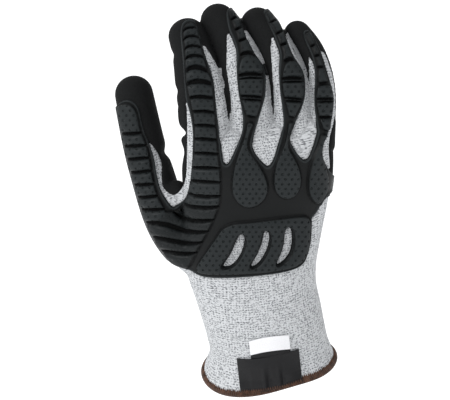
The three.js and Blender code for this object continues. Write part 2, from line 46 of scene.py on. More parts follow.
# The front view that the outlines are drawn on: x to the right and y down, in steps of STEP
# millimetres, seen from an angle of VIEW above the back of the hand and turned by its roll
STEP = 0.66
VIEW = math.radians(27)
ROLL_COS, ROLL_SIN = 0.9938, 0.1115
FRAME_WIDE, FRAME_HIGH = 450, 400
FAR = 5000.0
SENSOR = 36.0
CENTRE_ACROSS, CENTRE_UP = -17.1, 111.2
VIEW_UP = np.array([0, math.sin(VIEW), math.cos(VIEW)])
VIEW_OUT = np.array([0, -math.cos(VIEW), math.sin(VIEW)])
ACROSS = np.array([1.0, 0, 0])
SHOWN_RIGHT = ROLL_COS * ACROSS - ROLL_SIN * VIEW_UP
SHOWN_UP = ROLL_SIN * ACROSS + ROLL_COS * VIEW_UP
VIEW_CENTRE = CENTRE_ACROSS * ACROSS + CENTRE_UP * VIEW_UP

# Where a finger's bend pinches its outline: place on the front view, depth in millimetres and
# how far it reaches along the outline
CREASES = [(171.5, 55, 1.2, 4.5), (177.5, 91, 1.4, 5), (183.5, 132.5, 1.9, 4.5), (180.5, 150, 2.3, 12),
           (166, 152, 2.2, 6)]
CREASE_REACH = 5
# Where the crease between the thumb and the hand is filled: place and reach across and down
FILLED = [(186, 222, 17, 30), (179, 198, 13, 11)]
FILL_ROUNDS, FILL_PULL = 70, 0.6
# Folds of the coating on the index finger's thumb side, and the web between it and the thumb: place
# on the front view, radii across, along and deep, and how far in front of the view's plane
BULGES = [(184.5, 113, 3.2, 11, 6, 82), (191, 150, 1.8, 8, 5, 72), (177, 195, 7.5, 9, 6, 51)]
BULGE_RINGS, BULGE_SIDES, BULGE_END = 13, 20, 0.94

# The body that every layer follows, in millimetres
MOUTH_WIDTH, MOUTH_DEPTH, CUFF_HEIGHT = 88, 77, 66
PALM_WIDTH, PALM_DEPTH, PALM_HEIGHT = 100, 36, 116
CUFF_POWER, PALM_POWER = 2.0, 2.25

# Height, left, right, back and palm, as shares of the sizes above
CUFF = [
    (-0.15, 0.5, 0.5, 0.5, 0.5), (0, 0.5, 0.5, 0.5, 0.5), (0.11, 0.468, 0.478, 0.463, 0.463),
    (0.22, 0.434, 0.457, 0.43, 0.43), (0.4, 0.441, 0.443, 0.41, 0.405), (0.64, 0.468, 0.43, 0.396, 0.4),
    (0.88, 0.5, 0.414, 0.377, 0.4)
]
PALM = [
    (0.04, 0.465, 0.375, 0.76, 0.83), (0.22, 0.46, 0.426, 0.68, 0.78), (0.41, 0.445, 0.488, 0.61, 0.68),
    (0.6, 0.43, 0.54, 0.57, 0.57), (0.82, 0.412, 0.56, 0.51, 0.42), (0.94, 0.395, 0.555, 0.35, 0.36),
    (1, 0.3, 0.5, 0.06, 0.15)
]
Stall = namedtuple("Stall", "root bones widths depths coated")
# Root, bones (length, bend, sway), widths and depths at root, middle and tip, and the coating:
# how far it is turned towards the thumb, how far round it reaches, and where the tip is all coated
STALLS = {
    "index": Stall(root=(-23.3, -3.5, 92), bones=((44, 11, -2), (26, 27, -5), (23.8, 43, -12)),
        widths=(30, 31, 20.5), depths=(27, 25, 21), coated=(28, 225, 0.86)),
    "middle": Stall(root=(5, -2.5, 94), bones=((46, 12, 0), (27.5, 30, -14), (27.5, 46, -25)),
        widths=(28.5, 26.5, 19.5), depths=(27, 25, 20), coated=(12, 195, 0.84)),
    "ring": Stall(root=(31, -2, 92), bones=((45, 13, 0), (26.5, 31, -16), (26, 47, -27)),
        widths=(25.5, 23, 19.5), depths=(26, 24, 19), coated=(12, 195, 0.84)),
    "little": Stall(root=(47.5, -1, 90), bones=((41, 15, 7.5), (22, 33, -10), (24, 48, -28)),
        widths=(19.5, 17.5, 15.5), depths=(21, 19.5, 16), coated=(8, 190, 0.84)),
    "thumb": Stall(root=(-20, 5, 0), bones=((45.5, 10, -42.5), (46.5, 20, -15), (61, 20, -6.5)),
        widths=(31, 26.5, 23), depths=(42, 31, 22), coated=(-30, 225, 0.9)),
    "web": Stall(root=(-34, 5, 16), bones=((20, 12, -28), (10, 14, -26)),
        widths=(34, 26, 20), depths=(30, 22, 16), coated=(-30, 225, 1.1)),
}

# Outlines on the front view
GUARD = {
    "thumb": [(108, 124), (112, 118), (112.5, 111), (116, 104.5), (122.6, 100.3), (127.2, 99.4),
        (133.7, 101.5), (138.3, 106.1), (140.6, 113.5), (142, 121.8), (144.8, 132), (148, 139.4),
        (151.3, 147.7), (155, 158.8), (156.3, 169.9), (158.2, 181), (161.4, 191.2), (166, 200.4),
        (173.5, 209.5), (170, 225), (130, 225), (118, 190), (104, 140)],
    "index": [(179.5, 32), (181, 24), (185, 19.5), (190, 18), (195.5, 20.5), (199.5, 29), (202.5, 42),
        (206.5, 57), (211.8, 70), (215, 84), (216.3, 98), (217.5, 112), (219.4, 125), (220.4, 140),
        (221.4, 153), (223.2, 165), (224, 180), (224, 212), (173.5, 216), (173.5, 209.5), (180, 203.4),
        (185.5, 196.7), (188.7, 185.6), (190.6, 172), (191.5, 158), (192, 144), (192, 133), (191, 121.8),
        (188.3, 110.7), (185.2, 100.5), (184, 90), (183, 75), (182, 60), (180.5, 45)],
    "middle": [(226, 12), (229, 7), (234, 6), (239, 12), (242, 21), (243.8, 29), (248.8, 41.2),
        (255, 52.2), (261, 60.5), (265.3, 67), (266.8, 76.3), (266.8, 86.5), (266.3, 96.7), (263.8, 105),
        (260.7, 115), (257.7, 125), (254.4, 134), (252.2, 141.6), (252.2, 147.5), (254.4, 153.4),
        (258.8, 159.3), (270, 176), (262, 210), (230, 210), (222, 175), (230, 162), (234.2, 152.9),
        (238.3, 142.7), (241.6, 132), (242.4, 122), (241.6, 112), (238.3, 96.7), (236.4, 82), (236, 70),
        (236.4, 58), (236, 47.8), (232.1, 37.6), (229, 31), (227, 22)],
    "ring": [(263, 11), (266, 7.5), (270.5, 8), (275.5, 14), (279.5, 20), (283.8, 29), (288.4, 40.9),
        (293, 53.6), (298.6, 61.8), (303.8, 70), (305.9, 78.2), (306.4, 87.3), (305.9, 98.2),
        (303.2, 107.3), (298.6, 117.3), (294.3, 126.9), (290.6, 134.3), (290, 140.9), (292.6, 146.8),
        (296.7, 153.4), (306, 172), (300, 205), (274, 205), (268, 175), (274.3, 160), (275.9, 154.1),
        (277.9, 146.8), (279.8, 139.4), (281.6, 132), (282.7, 124.7), (282.6, 117.4), (281.2, 104.5),
        (279.1, 90.9), (278.2, 77.3), (279.1, 63.6), (280.3, 53.6), (276.8, 42.7), (273.2, 33.6),
        (268, 23)],
    "little": [(302.5, 33), (304.5, 29.5), (309, 29), (314, 35), (318, 43), (322, 51.8), (325.8, 63.6),
        (329.8, 77.3), (333.2, 88.2), (335, 98.2), (334.4, 109.1), (332.4, 120.9), (330.8, 128.4),
        (327.2, 137.2), (324.3, 143), (322.8, 151.2), (323.9, 158.5), (326.8, 164.4), (329.4, 170.3),
        (338, 180), (334, 192), (326.5, 198.2), (320, 210), (305, 205), (302, 175), (310.3, 157),
        (312.9, 150.4), (315.4, 143), (317.6, 135.7), (318, 129.9), (315.4, 120), (313.2, 104.5),
        (313.6, 90.9), (314.1, 80), (314.6, 72.7), (313.2, 62.7), (310.5, 53.6), (305.5, 43)],
    "hand": [(173.5, 209.5), (180, 203.4), (186, 196), (189, 184), (192, 160), (215, 150), (221.4, 153),
        (223, 163.5), (226.5, 165.6), (230.5, 162), (236, 150), (250, 145), (254.4, 153.4),
        (258.8, 159.3), (263.2, 163.7), (266.4, 166.7), (269, 167), (272, 164.4), (276, 154), (288, 145),
        (292.6, 146.8), (296.7, 153.4), (300.9, 158), (303.9, 160.7), (306.8, 160.6), (310.3, 157),
        (314, 148), (322.8, 151.2), (323.9, 158.5), (326.8, 164.4), (329.4, 170.3), (338, 178),
        (334, 192), (326.5, 198.2), (321, 206.5), (316.8, 214.2), (312.5, 218), (312.9, 224), (312, 241),
        (309.5, 252), (305.9, 262.9), (298.6, 268.9), (286.5, 272.6), (268.3, 275.6), (244, 278),
        (219.8, 279), (204, 278), (196.8, 275.6), (190.8, 271.4), (183.5, 269.5), (173.8, 266.5),
        (165.3, 259.8), (155, 254), (140, 245), (128, 222), (126, 200), (140, 190), (161, 191),
        (166, 200.4)],
}
SLOTS = [
    [(240.5, 233.8), (244.7, 236.8), (244.7, 243.5), (241.7, 253.2), (235.6, 262.9), (229.5, 267.1),
     (222.9, 267.7), (222.3, 265.9), (230.8, 254.4), (235.6, 242.3)],
    [(266.5, 231.4), (269.8, 233.8), (269.5, 243.5), (265.9, 253.2), (259.8, 262.9), (253.2, 267.7),
     (250.2, 266.5), (257.4, 255.6), (262.3, 243.5), (263.5, 233.8)],
    [(288.9, 227.7), (292.2, 229.5), (293.2, 239.8), (291.4, 252), (285.3, 260.5), (278.6, 265.3),
     (276.6, 264.1), (281.7, 254.4), (284.7, 243.5), (285.3, 231.4)],
]
# What stands above the guard's web: how far it rises, how much it crowns, how strongly it is
# dimpled, and its outline
RELIEF = {
    "thumb ribs": (1.9, 0.5, 0.8, [(104, 124), (113, 113), (117, 106.5), (121, 104), (126.3, 102.6),
        (131, 104), (135, 107.5), (137.4, 112), (139, 119), (140.4, 126), (141.9, 132), (145.5, 140),
        (148.5, 150), (150.8, 162), (152.6, 173), (154.8, 184), (157.5, 194), (162, 203), (167, 211),
        (165, 225), (128, 225), (104, 140)]),
    "index ribs": (1.8, 0.4, 0.7, [(182.5, 32), (184, 25), (190.3, 21.5), (195.5, 24), (198, 30),
        (200, 38), (202, 47), (204.5, 58), (208, 70), (212.8, 82), (213.8, 97), (215, 111), (216.2, 125),
        (217.3, 139), (218.6, 153), (220.4, 167), (221.5, 181), (221, 196), (219.5, 210), (180, 214),
        (176, 211), (183, 205), (187.5, 195), (189.8, 181), (191.8, 167), (193.9, 153), (194.3, 139),
        (194.3, 125), (192.3, 111), (189, 97), (186, 84), (185.4, 72), (184.8, 60), (184.4, 48),
        (183.2, 40)]),
    "ribs below the thumb": (1.8, 0.5, 0.25, [(126, 205), (150, 208), (172, 212), (181, 208), (186, 202),
        (221, 200), (219.5, 207), (214.5, 220), (209, 231.5), (202.5, 243), (197, 253), (190, 268),
        (183, 268), (173.5, 264.5), (160, 258), (150, 252), (138, 243), (126, 220)]),
    "plate": (1.9, 1.3, 1, [(224.7, 223.1), (256.2, 220.5), (280.5, 217.4), (303, 214.6), (308, 216.2),
        (310.8, 221), (310.8, 228), (309.7, 243.5), (307.1, 254.4), (302.3, 262.9), (292.6, 268.9),
        (268.3, 273.2), (244, 275), (219.8, 276), (202.9, 275), (196.8, 272), (196, 266.5),
        (202.9, 255.6), (213.8, 239.8)]),
    "middle tip": (1.5, 0.2, 0.5, [(228, 12), (229.5, 9.5), (234, 8.5), (237, 11), (239.5, 18), (243, 28),
        (248.5, 39), (251, 46), (256, 54), (257, 58), (240, 58), (240.5, 50), (239, 41), (235.5, 30),
        (231.5, 20)]),
    "middle pads": (2.3, 0.5, 1, [(241.5, 57), (248.5, 54), (255.8, 57), (260, 61), (262.6, 70),
        (263, 85), (262.5, 96), (260.5, 106), (258, 114), (256.4, 119), (246.2, 117), (244.6, 112),
        (242.3, 104), (240, 95), (238.3, 85), (237.9, 70), (239, 62)]),
    "middle knuckle": (2.2, 1.1, 1, [(246.6, 120.5), (255, 122), (251.5, 130), (249.3, 139), (247.8, 147),
        (252.4, 154), (257.5, 161.5), (262.5, 168.8), (266.2, 176.2), (268.4, 183.5), (268.6, 190.9),
        (266, 198.2), (260.3, 204.1), (254, 207.3), (247, 208.3), (239.5, 205), (233.8, 198.2),
        (231.3, 190.9), (231.3, 183.5), (232, 176.2), (233.1, 168.8), (234.9, 161.5), (237.1, 154),
        (240.1, 146.8), (243.2, 139.4), (245.6, 131)]),
    "ring tip": (1.5, 0.2, 0.5, [(264.5, 14.5), (266.5, 12), (271, 12), (273.5, 14.5), (277.5, 19.5),
        (283, 30), (287.5, 42), (292, 53), (296, 60), (296.5, 63), (283, 63), (284, 53), (280, 43),
        (275.5, 33), (269.5, 23)]),
    "ring pads": (2.3, 0.5, 1, [(285, 62.5), (290.5, 59.3), (296, 61.5), (299.5, 66), (303, 76),
        (304.2, 86), (303.2, 97), (300.5, 106), (296.7, 114), (294.3, 119), (288.3, 117), (287, 110),
        (285.3, 103), (283, 94), (281.6, 85), (281.6, 75), (283, 67)]),
    "ring knuckle": (2.2, 1.1, 1, [(288, 120.5), (294.3, 121.5), (291.8, 128), (289.6, 136), (288.4, 146),
        (292.6, 154), (297, 161.5), (300, 168.8), (301.5, 176.2), (301.5, 183.5), (299.3, 190.9),
        (294.9, 196.8), (289, 199.4), (283.5, 199), (278.5, 196.6), (274.3, 190.9), (272.8, 183.5),
        (272.8, 176.2), (273.9, 168.8), (275.7, 161.5), (279, 154.1), (282.2, 146.8), (285, 139.4),
        (287, 131)]),
    "little tip": (1.5, 0.2, 0.4, [(304.8, 35), (306.8, 32), (310.5, 32.5), (312.5, 36), (316, 44),
        (320.7, 54.5), (324.2, 66.5), (327, 75), (329.3, 84), (317, 85), (317.2, 75), (317.6, 67),
        (315.3, 57), (311.5, 47), (307.8, 41)]),
    "little pads": (2.2, 0.5, 1, [(317.3, 84.5), (329.3, 83.3), (331.9, 90), (333.5, 99), (333.3, 109),
        (331.5, 117), (331, 125), (330.3, 132), (322.5, 130.5), (320.5, 124), (318.5, 116), (316.8, 108),
        (315.7, 100), (316, 92)]),
    "little knuckle": (2.2, 1.0, 0.9, [(322, 133), (329.5, 134.3), (325.6, 139.4), (323.4, 146.8),
        (322.4, 154.1), (324.3, 161.5), (326.5, 168.8), (328.2, 176.2), (328.4, 183.5), (327.4, 190.9),
        (323.5, 198.2), (319, 204.1), (314.7, 204.1), (309.6, 198.2), (307.2, 190.9), (307.2, 183.5),
        (307.7, 176.2), (308.8, 168.8), (310.7, 161.5), (313.2, 154.1), (316.9, 146.8), (319.5, 139.4)]),
}
# Grooves across the relief: the width at the middle, and the line
GROOVES = {
    "index": [
        (1.5, [(182, 32.5), (186, 28.5), (190.3, 27.3), (194, 27.3), (198, 29)]),
        (1.5, [(183, 40.5), (186.5, 37), (190.3, 36), (194.5, 36), (199.5, 38.2)]),
        (1.6, [(183.5, 50), (188, 46.5), (192.3, 45.7), (197, 45.8), (202, 48)]),
        (1.8, [(184, 60), (189, 56.2), (194.4, 55.3), (200, 55.8), (204.5, 58.2)]),
        (3.2, [(184.5, 72), (190, 68), (195.4, 66.8), (201, 67.8), (208.5, 72)]),
        (3.2, [(185, 85.5), (191, 82.2), (197.4, 81), (205, 81.8), (214.5, 85)]),
        (2.2, [(187.5, 98.2), (194, 97), (201.5, 96.7), (215.5, 98.2)]),
        (1.9, [(191, 111.5), (204.6, 111.2), (216.5, 112.8)]),
        (1.9, [(193.3, 125.2), (205, 125.3), (217.6, 126.6)]),
        (1.9, [(193, 138.6), (205, 139), (219, 140.3)]),
        (1.9, [(192.6, 152.8), (205, 153.2), (220, 154.2)]),
        (2.0, [(190.6, 167), (206, 167.5), (222, 168.6)]),
        (2.0, [(188.5, 180), (205, 181.5), (223, 182.5)]),
        (2.2, [(186, 192.5), (196, 195.6), (207, 196.6), (223, 196)]),
    ],
    "thumb": [
        (2.0, [(117, 134), (121.2, 133.9), (131, 133.6), (140, 132.8), (143.5, 132.6)]),
        (2.0, [(119, 146.2), (130, 146.2), (143, 145.4), (147.5, 145.2)]),
        (2.0, [(121, 159.2), (132, 159.3), (145.7, 157.9), (151, 157.6)]),
        (2.0, [(124, 172.4), (136, 172.5), (149.4, 170.8), (153.5, 170.6)]),
        (2.0, [(129, 184.8), (140, 184.9), (153.1, 184.2), (156, 184)]),
        (2.0, [(133, 197), (145, 197.3), (156.8, 195.9), (160.5, 195.6)]),
        (2.0, [(136, 208.8), (146, 209.8), (158, 209.6), (168, 208.8)]),
    ],
    "below the thumb": [
        (2.3, [(184, 202.5), (188, 205), (193.2, 206.6), (202.9, 207.6), (212, 207.3), (220.5, 206.3)]),
        (2.4, [(174.5, 212.5), (178, 215), (183.5, 218.1), (193.2, 220.5), (202.9, 220.8), (215.5, 219.6)]),
        (2.8, [(139, 221.8), (144.7, 222.3), (156.8, 222.9), (167.7, 224.8), (177.4, 228.2),
              (187.1, 231.2), (198, 232), (210.5, 231.3)]),
        (2.6, [(142, 235), (148.3, 236.2), (159.2, 238), (171.4, 240.5), (183.5, 242.8), (193.2, 243.2),
              (203.5, 242.2)]),
        (2.2, [(150, 248.5), (156.8, 249.7), (166.5, 251.3), (176.2, 252.9), (185.9, 253.6),
              (198.5, 252.5)]),
    ],
    "middle": [
        (1.6, [(230, 20), (234, 17.8), (239, 15.8)]), (1.7, [(233.5, 30.2), (237.8, 28.4), (243, 26.4)]),
        (1.9, [(238, 41), (241.8, 39.7), (247.5, 37.8)]),
        (2.6, [(239, 56), (244, 53.2), (248.5, 52.4), (253, 53.4), (257.5, 57)]),
        (2.3, [(236.5, 76), (243, 74.4), (249, 73.8), (256, 74.1), (264, 75.2)]),
        (1.1, [(236.8, 79.3), (248.5, 77.8), (264, 78.4)]),
        (1.7, [(238.5, 95.6), (251, 96.4), (263.5, 97.3)]),
        (1.1, [(239.5, 98.9), (251, 99.7), (263, 100.4)]),
        (1.5, [(244, 115.9), (251, 116.9), (258, 117.8)]),
        (1.1, [(244.8, 119.4), (251, 120.4), (257.5, 121.3)]),
    ],
    "ring": [
        (1.6, [(269.5, 22.5), (274, 20.4), (279, 18)]), (1.7, [(275.5, 34), (280.3, 31.6), (285, 29.4)]),
        (1.9, [(280, 45.2), (284.5, 43.6), (289.5, 41.8)]),
        (2.6, [(283.3, 62), (287, 59.6), (290.7, 58.6), (294.2, 59.4), (298, 62)]),
        (2.3, [(280, 78.9), (286, 78.4), (292, 77.8), (299, 78.2), (305, 79)]),
        (1.1, [(280.3, 82.2), (292, 81.8), (305, 81.9)]),
        (1.6, [(282.8, 97.8), (292.5, 98.5), (304, 99.4)]),
        (1.1, [(284, 100.6), (292.5, 101.3), (303, 101.9)]),
        (1.6, [(286.8, 116.6), (291, 117.4), (296, 118.4)]),
    ],
    "little": [
        (1.6, [(309.8, 46.6), (313.8, 44.9), (317.5, 43)]), (1.7, [(314, 56), (318.3, 55), (322.6, 54)]),
        (1.7, [(316, 66.9), (320.6, 66.8), (326, 66.8)]), (2.2, [(316, 84), (322, 83.8), (331, 82.4)]),
        (1.9, [(314.5, 99), (324, 99), (335, 98.6)]), (1.0, [(315, 102), (324, 101.9), (335, 101.4)]),
        (1.8, [(317, 117.4), (325, 117.3), (333, 116.7)]),
        (1.7, [(321, 130.6), (326, 131.6), (332, 133)]),
    ],
}
# Where the knit shows on the front view; the rest of the hand and fingers there is coated
BARE = {
    "thumb and index": [(150.3, 142.2), (155, 148), (159.6, 155.1), (162.8, 164.4), (161.9, 176.4),
        (162.8, 186.6), (167.9, 193), (173.5, 195.3), (178.1, 193), (183.6, 184.7), (185.7, 175),
        (186.4, 162.5), (186.4, 153), (186.6, 133), (186.4, 111.6), (185, 100), (195, 105), (200, 150),
        (195, 190), (183, 214), (168, 214), (154, 200), (148, 175), (142, 142)],
    "index and middle": [(204.4, 43.5), (210.7, 52.9), (215.8, 62), (220.9, 72.2), (222.7, 76.3),
        (224.3, 91.6), (226.3, 101.8), (228.9, 121.5), (230.2, 121.5), (230.6, 100), (229, 90), (227, 76),
        (225.5, 67), (226.5, 50.8), (226, 37.6), (229, 30.5), (240, 45), (243, 70), (246, 100),
        (250, 125), (244, 150), (230, 178), (214, 172), (208, 120), (200, 80), (198, 50)],
    "middle and ring": [(245.2, 27.5), (253.8, 41), (261.2, 53.9), (265, 64), (267.6, 73.3), (269, 80),
        (270.3, 91), (271.8, 109), (272.4, 118), (273.6, 118), (273.7, 107), (273, 91), (271.8, 75.5),
        (270.9, 56), (270.3, 45), (272.5, 33.5), (284, 50), (287, 75), (288, 100), (290, 125), (285, 155),
        (269, 180), (250, 168), (244, 145), (250, 120), (257, 95), (257, 72), (250, 54), (242, 36)],
    "ring and little": [(284.6, 27.5), (291, 39), (299.5, 53.6), (306, 68.2), (308, 79), (308.2, 88),
        (308.8, 88), (308.5, 72), (308.1, 60), (309, 55), (319, 75), (320, 100), (326, 125), (322, 150),
        (306, 172), (286, 163), (280, 142), (290, 118), (297, 100), (297, 80), (291, 65), (286, 50),
        (281, 36)],
    "little finger's side": [(322, 50), (326.1, 54.5), (330.3, 66), (334.3, 79), (336.6, 87), (345, 90),
        (345, 112), (335.9, 112), (333.8, 124.7), (330.3, 136.5), (329.2, 145.3), (329.2, 151.2),
        (330.1, 161.5), (330.5, 171), (318, 168), (314, 150), (320, 130), (325, 100), (321, 75), (315, 52)],
    "cuff": [(327, 197.5), (345, 190), (345, 400), (120, 400), (120, 255), (150, 252), (165, 258),
        (185, 262), (200, 268), (240, 268), (280, 264), (298, 260), (303, 250), (306, 235), (306, 219),
        (312, 210), (320, 203)],
    "slots": [(215, 218), (250, 214), (306, 208), (313, 230), (310, 262), (280, 274), (205, 274),
        (196, 262)],
}

# Layers: how far they rise above the body or lie below it
WEB_RISE = 1.35
SUNK = 0.7
LIP_RISE, LIP_AT, LIP_WIDE = 0.6, 0.9, 0.6
EDGE_SOFT = 0.5
RELIEF_EDGE = 1.15
CROWN_REACH = 7.0
GROOVE_FLOOR, GROOVE_WIDEN, THIN_GROOVE = 1.4, 1.4, 1.4
SHOULDER, SHOULDER_WIDE = 0.55, 4.2
RELIEF_STARTS = 0.3
PAD_TO_SLOT = 0.25
# Where the painted shade round a pad's edge lies, by distance inside its outline, and how wide it is
FOOT_AT, FOOT_WIDE = -0.25, 0.4
# How far inside a pad its dimples start and are whole
DIMPLES_FROM = (0.7, 1.8)
# How much a groove narrows at its ends, and how suddenly
TAPER, TAPER_POWER = 0.6, 2.2
# How far out a look at the body starts, and how much deeper than its first hit still counts
SEEN_FROM, SEEN_DEEP = 250.0, 2.0
# A part of the body that faces further away than this isn't looked at
TURNED_AWAY = -0.35
# Which way the body still faces the view where the guard may end, and how fast it ends there
GUARD_FACING, GUARD_TURN = 0.1, 14
EDGE_FACING = (-0.2, 0.05)
RELIEF_TURN = 8
OUTSIDE = -9.0
# How far above the body the outlines are looked up
GUARD_LOOK, COAT_LOOK = 1.8, 0.4
DIMPLE_ACROSS, DIMPLE_DOWN, DIMPLE_DEPTH = 6.4, 4.8, 0.5
DIMPLE_FLAT, DIMPLE_RADIUS = 0.25, 1.4
COAT_RISE = 0.8
# Where the coating lies behind: palmwards of a depth and above a height, and on the ball of the
# thumb; its lowest edge, how far its distances count, and how often they are smoothed
COAT_PALMWARDS, COAT_ABOVE = 3.0, 77.0
BALL_LEFT, BALL_TOP = -38.0, 115
COAT_LOWEST, COAT_REACH, COAT_ROUNDS = 72, 6, 14
TIP_STEEPNESS = 95
COVERED_SINK = 1.1
# How far outside its outline a layer is still made, how far the coating runs under the guard, and the
# smallest patch of quads that is kept
COAT_KEPT, COAT_UNDER_GUARD, COAT_CRUMB = -1.6, 3.2, 60
GUARD_KEPT, GUARD_EDGE, GUARD_CRUMB = -2.2, -1.1, 200
KNIT_WALL = 1.4
WALE, COURSE = 2.15, 1.7
BODY_GRAIN = 1.15
KNIT_GRAIN = 1.6
BODY_ROUNDS = 6
RELAX_PULLS = (0.5, -0.52)


def unit(vectors):
    return vectors / np.maximum(np.linalg.norm(vectors, axis=-1, keepdims=True), 1e-9)


def smooth(low, high, value):
    t = np.clip((value - low) / (high - low), 0, 1)
    return t * t * (3 - 2 * t)


# Camera
def place_camera():
    data = bpy.data.cameras.new("camera")
    data.sensor_width = SENSOR
    data.lens = SENSOR * FAR / (FRAME_WIDE * STEP)
    data.clip_end = 100
    camera = bpy.data.objects.new("camera", data)
    bpy.context.scene.collection.objects.link(camera)
    turn = Matrix([list(SHOWN_RIGHT), list(SHOWN_UP), list(VIEW_OUT)]).transposed().to_4x4()
    turn.translation = Vector((VIEW_CENTRE + VIEW_OUT * FAR) * MM)
    camera.matrix_world = turn
    bpy.context.scene.camera = camera


place_camera()


def on_front(points):
    """Where points of the body, in millimetres, lie on the front view."""
    away = points - VIEW_CENTRE
    size = FAR / (FAR - away @ VIEW_OUT) / STEP
    across = FRAME_WIDE / 2 + away @ SHOWN_RIGHT * size
    down = FRAME_HIGH / 2 - away @ SHOWN_UP * size
    return np.stack([across, down], axis=1)


# Lofts: a stall's tip is a dome up to a share of a quarter turn
DOME_END = 0.97


def sections():
    """By height: how far the hand reaches left, right, back and palmwards, and its power."""
    parts = [(CUFF, 0, CUFF_HEIGHT, MOUTH_WIDTH, MOUTH_DEPTH, CUFF_POWER),
             (PALM, CUFF_HEIGHT, PALM_HEIGHT, PALM_WIDTH, PALM_DEPTH, PALM_POWER)]
    rows = []
    for table, start, height, wide, deep, power in parts:
        for up, left, right, back, palm in table:
            rows.append((start + up * height, left * wide, right * wide, back * deep, palm * deep, power))
    return np.array(rows, float)


def hermite(rows, places):
    """Rows of values, first the height, smoothly joined without overshoot in height."""
    heights = rows[:, 0]
    slopes = np.gradient(rows, heights, axis=0)
    index = np.clip(np.searchsorted(heights, places, side="right") - 1, 0, len(rows) - 2)
    low, high = rows[index], rows[index + 1]
    span = (heights[index + 1] - heights[index])[:, None]
    t = ((places - heights[index]) / span[:, 0])[:, None]
    t2, t3 = t * t, t * t * t
    return ((2 * t3 - 3 * t2 + 1) * low + (t3 - 2 * t2 + t) * span * slopes[index]
            + (3 * t2 - 2 * t3) * high + (t3 - t2) * span * slopes[index + 1])


def hand_rings(sides=72, rings=90):
    rows = sections()
    places = np.linspace(rows[0, 0], rows[-1, 0], rings)
    angles = np.linspace(0, 2 * math.pi, sides, endpoint=False)
    found = []
    for z, left, right, back, palm, power in hermite(rows, places):
        across, deep = np.cos(angles), np.sin(angles)
        wide = np.where(across < 0, left, right)
        thick = np.where(deep < 0, back, palm)
        x = np.sign(across) * wide * np.abs(across) ** (2 / power)
        y = np.sign(deep) * thick * np.abs(deep) ** (2 / power)
        found.append(np.stack([x, y, np.full(sides, z)], axis=1))
    return found


def bone_line(root, bones, samples=80):
    """Points along the line, evenly spaced, with their directions."""
    points = [np.array([root[0], root[1], CUFF_HEIGHT + root[2]], float)]
    for length, bend, sway in bones:
        bend, sway = math.radians(bend), math.radians(sway)
        step = np.array([math.sin(sway), math.sin(bend) * math.cos(sway), math.cos(bend) * math.cos(sway)])
        points.append(points[-1] + step * length)
    points = [2 * points[0] - points[1], *points, 2 * points[-1] - points[-2]]
    line = []
    for a, b, c, d in zip(points, points[1:], points[2:], points[3:]):
        ta, tb, tc = (math.sqrt(np.linalg.norm(q - p)) for p, q in ((a, b), (b, c), (c, d)))
        out = ((b - a) / ta - (c - a) / (ta + tb) + (c - b) / tb) * tb
        into = ((c - b) / tb - (d - b) / (tb + tc) + (d - c) / tc) * tb
        for t in np.linspace(0, 1, 60, endpoint=False):
            line.append(b + out * t + (-3 * b + 3 * c - 2 * out - into) * t * t
                        + (2 * b - 2 * c + out + into) * t ** 3)
    line = np.array([*line, points[-2]])
    along = np.concatenate([[0], np.cumsum(np.linalg.norm(np.diff(line, axis=0), axis=1))])
    even = np.linspace(0, along[-1], samples)
    line = np.stack([np.interp(even, along, line[:, k]) for k in range(3)], axis=1)
    return line, unit(np.gradient(line, axis=0)), along[-1]


def crossways(tangents):
    palmwards = np.array([0, 1.0, 0]) - tangents * tangents[:, 1:2]
    palmwards = unit(palmwards)
    return palmwards, np.cross(palmwards, tangents)


def at_share(values, share):
    return np.interp(share, [0, 0.5, 1], values)


def stall_rings(stall, sides=40, stations=48, dome=9):
    root, bones, widths, depths, _ = stall
    line, tangents, length = bone_line(root, bones)
    shares = np.linspace(0, 1, len(line))
    radius = widths[-1] / 2
    end = 1 - radius / length
    angles = np.linspace(0, 2 * math.pi, sides, endpoint=False)
    found = []

    def ring(share, lift, shrink):
        point = np.array([np.interp(share, shares, line[:, k]) for k in range(3)])
        tangent = unit(np.array([[np.interp(share, shares, tangents[:, k]) for k in range(3)]]))
        palmwards, across = crossways(tangent)
        wide, thick = at_share(widths, share) / 2 * shrink, at_share(depths, share) / 2 * shrink
        return (point + tangent[0] * lift + np.outer(np.cos(angles) * wide, across[0])
                + np.outer(np.sin(angles) * thick, palmwards[0]))

    for share in np.linspace(0, end, stations):
        found.append(ring(share, 0, 1))
    for turn in np.linspace(0, DOME_END, dome)[1:] * math.pi / 2:
        found.append(ring(end, radius * math.sin(turn), math.cos(turn)))
    return found


def new_object(name, points, faces):
    mesh = bpy.data.meshes.new(name)
    mesh.from_pydata([tuple(p) for p in points], [], faces)
    mesh.update()
    made = bpy.data.objects.new(name, mesh)
    bpy.context.scene.collection.objects.link(made)
    return made


def loft(rings):
    """Points and faces of a closed skin over the rings."""
    sides = len(rings[0])
    points = np.concatenate([*rings, [rings[0].mean(0)], [rings[-1].mean(0)]])
    first, last = len(points) - 2, len(points) - 1
    top = (len(rings) - 1) * sides
    faces = []
    for side in range(sides):
        after = (side + 1) % sides
        for row in range(0, top, sides):
            faces.append((row + side, row + after, row + sides + after, row + sides + side))
        faces.append((first, after, side))
        faces.append((last, top + side, top + after))
    return points, faces


def bulges():
    found = []
    around = np.linspace(0, 2 * math.pi, BULGE_SIDES, endpoint=False)
    for x, y, wide, tall, deep, ahead in BULGES:
        right, up = (x - FRAME_WIDE / 2) * STEP, (FRAME_HIGH / 2 - y) * STEP
        middle = VIEW_CENTRE + SHOWN_RIGHT * right + SHOWN_UP * up + VIEW_OUT * ahead
        rings = []
        for turn in np.linspace(-BULGE_END, BULGE_END, BULGE_RINGS):
            angle = turn * math.pi / 2
            rings.append(middle + SHOWN_UP * tall * math.sin(angle)
                         + np.outer(np.cos(around) * wide * math.cos(angle), SHOWN_RIGHT)
                         + np.outer(np.sin(around) * deep * math.cos(angle), -VIEW_OUT))
        found.append(rings)
    return found


